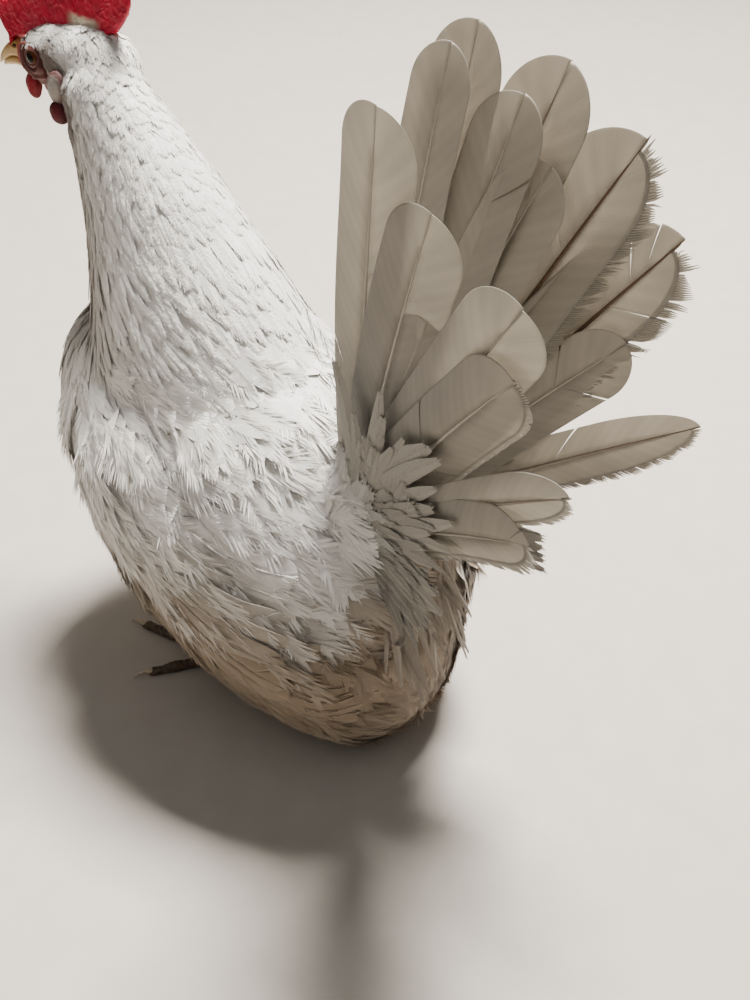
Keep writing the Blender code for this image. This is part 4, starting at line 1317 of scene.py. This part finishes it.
def make_wisps(look):
    """Thin loose feathers that hang from behind the abdomen, tinted a brown that is part stain, part painted
    shade.
    """
    draw = np.random.default_rng(77)
    share = np.linspace(0, 1, 8)[None, :, None]
    roots = [draw.uniform(low, high, WISPS) for low, high in WISP_ROOTS]
    roots, out = nearest(np.column_stack(roots))
    length = draw.uniform(20, 40, (WISPS, 1, 1))
    fall = unit(np.array([0.25, 0.0, -1.0]) + draw.normal(0, 0.12, (WISPS, 3)))[:, None]
    paths = roots[:, None] - out[:, None] * 1.5 + out[:, None] * 9 * share ** 0.8
    paths = paths + fall * length * share ** 1.2
    normals = np.broadcast_to(out[:, None], paths.shape)
    # A brown that is part stain, part painted shade.
    tints = (0.75 * STAIN_AND_SHADE_BROWN + 0.25 * WHITE) * draw.uniform(0.85, 1.1, (WISPS, 1))
    widths = draw.uniform(3.5, 7, WISPS)
    piece = feathers("abdomen_wisps", look, paths, normals, widths, tints, body_unwrap(roots), draw,
                     36, 0.6, roundness=0.2, frayed=0.35, strand=0.6, angles=(34, 14))
    ride(piece, "white_feathers")


def body_half_breadth(x, z):
    """Half breadth of the hull over the side view, by a ray from outside."""
    out = np.empty(len(x))
    for i in range(len(x)):
        hit, _, _, _ = HULL.ray_cast(Vector((x[i], 200.0, z[i])), Vector((0, -1, 0)))
        out[i] = hit.y if hit is not None else 20.0
    return out


def wing_path(root, tip, side, heights, stack):
    """A wing feather's middle line over the body's side and its normals; stack raises it over the next."""
    t = np.linspace(0, 1, 14)
    x = root[0] + (tip[0] - root[0]) * t
    z = root[1] + (tip[1] - root[1]) * t - 2.0 * np.sin(t * math.pi)
    surface = body_half_breadth(x, z)
    swell = wing_rise(np.stack([x, surface, z], -1))
    y = surface + swell * (0.5 + 0.5 * t) + heights[0] + (heights[1] - heights[0]) * t + stack
    path = np.stack([x, side * y, z], -1)
    _, normal = nearest(path)
    tangent = ways_along(path)
    return path, unit(normal - tangent * np.sum(normal * tangent, -1, keepdims=True))


def make_wings(*looks):
    draw = np.random.default_rng(81)
    for name, side in SIDES:
        parts, spots = [], []
        for tier, (count, roots, tips, width, heights) in enumerate(WING_TIERS):
            for i in range(count):
                share = i / (count - 1)
                root = blend(*np.array(roots, float), share)
                tip = blend(*np.array(tips, float), share) + draw.uniform(-1.5, 1.5, 2)
                path, normal = wing_path(root, tip, side, heights, 0.4 * (count - i) / count)
                tone = coat_tint(path[len(path) // 2]) * draw.uniform(0.97, 1.03)
                vane = long_vane(path, normal, width, 72, draw, tone, 0.0, fray=0.1, stem=0.7, worn=side)
                parts.append(vane)
                spots.append((0.06 + 0.09 * i, 0.15 + 0.2 * tier))
        ride_vanes("wing_" + name, parts, spots, looks)


def coat_region(name, look, keep, spacing, length, width, seed, tries, barbs, lift, sway=0.12, **style):
    """One region's feathers. keep, spacing, length and width are functions of place."""
    draw = np.random.default_rng(seed)
    roots = sample_hull(spacing, keep, seed, tries)
    lengths = length(roots) * draw.uniform(0.85, 1.15, len(roots))
    lifts = draw.uniform(*lift, len(roots))
    paths, normals = lay_paths(roots, lengths, coat_depth(roots), lifts, draw, sway)
    widths = width(roots) * draw.uniform(0.88, 1.12, len(roots))
    tint = coat_tint(roots) * draw.uniform(0.96, 1.04, len(roots))[:, None]
    piece = feathers(name, look, paths, normals, widths, tint, body_unwrap(roots), draw, barbs, **style)
    ride(piece, "white_feathers")


def even(value):
    return lambda points: np.full(len(points), float(value))


def by_neck(low, high):
    """A size that changes from low at the foot of the neck to high at its top."""
    return lambda points: low + (high - low) * clamp(neck_share(points) / 0.95) ** 0.9


def on_crown(points):
    return (head_share(points) > 0.15) & ~bare_face(points)


def on_neck_top(points):
    return (head_share(points) <= 0.6) & (neck_share(points) > 0.5) & ~bare_face(points)


def on_hackle(points):
    return (neck_share(points) > 0.0) & (neck_share(points) <= 0.5) & (points[..., 2] > 105)


def on_wing(points):
    return (wing_rise(points) > 0.5) & (points[..., 0] < 58)


def on_wing_end(points):
    return (wing_rise(points) > 1.0) & (points[..., 0] >= 58)


def on_tufts(points):
    low = 66 + 0.3 * np.clip(points[..., 0] + 20, 0, 100) + 12 * noise(points, 16.0, 64)
    return (neck_share(points) < 0.12) & (points[..., 2] > low) & ~on_wing_end(points)


def on_rump(points):
    return (np.linalg.norm(points - np.array(RUMP_AT), axis=-1) < RUMP_RADIUS) & (points[..., 2] > FLANK_TOP)


def on_thigh(points):
    return points[..., 2] < THIGH_TOP


def on_breast(points):
    rest = ~on_thigh(points) & ~on_wing(points)
    return rest & (neck_share(points) <= 0.0) & (points[..., 0] < BREAST_END)


def behind_breast(points):
    """The body behind the breast, less the folded wings."""
    rest = (neck_share(points) <= 0.0) & (points[..., 0] >= BREAST_END)
    return rest & ~on_wing(points) & ~on_wing_end(points)


def on_back(points):
    return behind_breast(points) & (points[..., 2] > FLANK_TOP)


def on_flank(points):
    rest = ~on_thigh(points) & ~on_abdomen(points)
    return rest & behind_breast(points) & (points[..., 2] <= FLANK_TOP)


def on_abdomen(points):
    rest = ~on_thigh(points) & ~on_wing_end(points)
    return rest & (points[..., 0] > 52) & (points[..., 2] <= ABDOMEN_TOP)


def make_coat(look, fluff):
    """Each region: spacing, length, width, seed, tries, barbs and the least and most lift of its tips."""
    soft = {"core": 0.9, "roundness": 0.5, "strand": 0.7, "angles": (42, 16)}
    regions = (
        ("crown", look, on_crown, even(1.5), even(6.5), even(3.4), 11, 50000, 13, (0.1, 0.4),
         {"core": 0.95, "loose": 0.05}),
        ("neck_top", look, on_neck_top, by_neck(3.0, 1.9), by_neck(30, 8), by_neck(6.0, 3.6),
         12, 40000, 16, (0.1, 0.7), {"roundness": 0.4}),
        ("hackle", look, on_hackle, by_neck(3.3, 2.7), by_neck(30, 24), by_neck(6.6, 5.0),
         13, 40000, 20, (0.1, 1.5), {"roundness": 0.35}),
        ("breast", look, on_breast, even(4.0), even(20), even(10.5), 14, 30000, 20, (0.1, 1.0), {}),
        ("back", look, on_back, even(4.0), even(24), even(9.5), 15, 30000, 20, (0.2, 1.2), {}),
        ("wings", look, on_wing, even(4.2), even(18), even(11.0), 19, 30000, 22, (0.1, 1.0), {}),
        ("flank", look, on_flank, even(4.2), even(22), even(11.0), 16, 30000, 20, (0.1, 1.0), {}),
        ("abdomen", fluff, on_abdomen, even(3.6), even(20), even(8.5), 17, 30000, 24, (0.2, 1.6),
         {"frayed": 0.35, "core": 0.6, "strand": 0.6, "sway": 0.2}),
        ("thighs", fluff, on_thigh, even(3.8), even(15), even(8.5), 18, 30000, 13, (0.1, 1.0),
         {"frayed": 0.25}),
        ("tufts", look, on_tufts, even(7.0), even(27), even(15.0), 20, 20000, 40, (0.8, 3.0),
         {**soft, "sway": 0.28, "frayed": 0.06, "core": 0.95, "roundness": 0.55, "strand": 0.8,
          "loose": 0.05}),
        ("rump", fluff, on_rump, even(5.0), even(28), even(14.0), 21, 20000, 44, (0.2, 1.4),
         {**soft, "sway": 0.3, "frayed": 0.12, "loose": 0.08}),
    )
    for name, *values, style in regions:
        coat_region("coat_" + name, *values, **style)


def tinted_look(name, roughness, coat, scale, bump, through=0.0, gloss=0.3):
    """The vertex colour with a fine grain, for horn, eyes, the skin and the bare flesh."""
    look, shader = new_look(name, roughness)
    nodes, links = nodes_of(look)
    put(shader, Coat_Weight=coat, Coat_Roughness=0.04, Specular_IOR_Level=gloss)
    let_light_in(shader, through)
    grain = add_noise_bump(look, shader, scale, bump, 0.0003)
    spread = nodes.new("ShaderNodeMapRange")
    put(spread, To_Min=0.82, To_Max=1.12)
    scaled = nodes.new("ShaderNodeVectorMath")
    scaled.operation = "SCALE"
    links.new(grain.outputs["Fac"], spread.inputs["Value"])
    links.new(add_tint(look), scaled.inputs[0])
    links.new(spread.outputs["Result"], scaled.inputs["Scale"])
    links.new(scaled.outputs["Vector"], shader.inputs["Base Color"])
    return look


def make_camera():
    side = Vector((math.cos(CAMERA_AZIMUTH), math.sin(CAMERA_AZIMUTH), 0))
    ahead = Vector((
        -math.sin(CAMERA_AZIMUTH) * math.cos(CAMERA_PITCH),
        math.cos(CAMERA_AZIMUTH) * math.cos(CAMERA_PITCH),
        -math.sin(CAMERA_PITCH),
    ))
    up = side.cross(ahead)
    turned_side = math.cos(CAMERA_ROLL) * side + math.sin(CAMERA_ROLL) * up
    turned_up = -math.sin(CAMERA_ROLL) * side + math.cos(CAMERA_ROLL) * up
    lens = bpy.data.cameras.new("camera")
    lens.sensor_fit = "VERTICAL"
    lens.sensor_height = SENSOR_HEIGHT
    lens.lens = FOCAL_PIXELS * SENSOR_HEIGHT / FRAME_HEIGHT
    lens.clip_start = 0.01
    camera = add_object("camera", lens)
    place = (Vector(CAMERA_AT) + Vector(SHIFT)) * MM
    axes = Matrix((turned_side, turned_up, -ahead)).transposed().to_4x4()
    camera.matrix_world = Matrix.Translation(place) @ axes
    bpy.context.scene.camera = camera


def make_light(name, place, aim, power, size, colour):
    lamp = bpy.data.lights.new(name, "AREA")
    lamp.energy = power
    lamp.size = size
    lamp.color = colour
    light = add_object(name, lamp)
    light.location = place
    light.rotation_euler = (Vector((0, 0, aim)) - Vector(place)).to_track_quat("-Z", "Y").to_euler()


def make_studio():
    for light in LIGHTS:
        make_light(*light)
    world = bpy.data.worlds.new("studio")
    world.use_nodes = True
    put(world.node_tree.nodes["Background"], Color=WORLD_COLOUR, Strength=WORLD_STRENGTH)
    bpy.context.scene.world = world
    mesh = bpy.data.meshes.new("floor")
    mesh.from_pydata([(-3, -3, 0), (3, -3, 0), (3, 3, 0), (-3, 3, 0)], [], [(0, 1, 2, 3)])
    floor = add_object("floor", mesh)
    look, shader = new_look("floor_paint", 0.8)
    grain = add_noise_bump(look, shader, 60, 0.05, 0.001)
    two_tone(look, shader, *FLOOR_TONES, grain)
    mesh.materials.append(look)


def make_head(lid, dark):
    ride(make_face(tinted_look("face_grain", 0.6, 0.0, 900, 0.5, 0.12)), "red_flesh")
    ride(make_lids(lid), "red_flesh")
    eye = tinted_look("eye_gloss", 0.15, 0.0, 900, 0.0, gloss=0.5)
    put(eye.node_tree.nodes["Principled BSDF"], IOR=1.22)
    for name, side in SIDES:
        ride(make_eye(name, -side, eye), "eye", "eye_" + name)
    make_beak(tinted_look("beak_horn_grain", 0.38, 0.15, 700, 0.25), dark)
    make_comb(tinted_look("comb_grain", 0.5, 0.05, 900, 0.6, 0.12))
    make_flesh(tinted_look("lobe_grain", 0.65, 0.0, 800, 0.5, 0.08))


def main():
    make_camera()
    make_studio()
    white = feather_look("white_coat", 0.08)
    fluff = feather_look("white_fluff", 0.10)
    vane = feather_look("tail_vane", 0.45)
    wing = feather_look("wing_vane", 0.15)
    shaft = tinted_look("shaft_horn", 0.45, 0.1, 800, 0.2)
    down = tinted_look("down_skin", 0.8, 0.0, 500, 0.8)
    lid = flesh_look("lid_skin", (0.07, 0.018, 0.015), (0.17, 0.05, 0.042), 0.55, 900)
    scale = flesh_look("leg_scale", (0.035, 0.022, 0.012), (0.13, 0.085, 0.045), 0.5, 500)
    claw = flesh_look("claw_pale", (0.36, 0.27, 0.18), (0.66, 0.56, 0.43), 0.4, 500)
    dark = flesh_look("nostril_dark", (0.02, 0.008, 0.004), (0.045, 0.018, 0.01), 0.8, 800)
    ride(make_skin(down), "white_feathers", "torso", "neck", "head", "thigh_left", "thigh_right")
    make_head(lid, dark)
    make_feet(scale, claw)
    make_tail(vane, shaft)
    make_plumes(fluff)
    make_wisps(fluff)
    make_wings(wing, shaft)
    make_coat(white, fluff)


main()
bpy.context.view_layer.update()
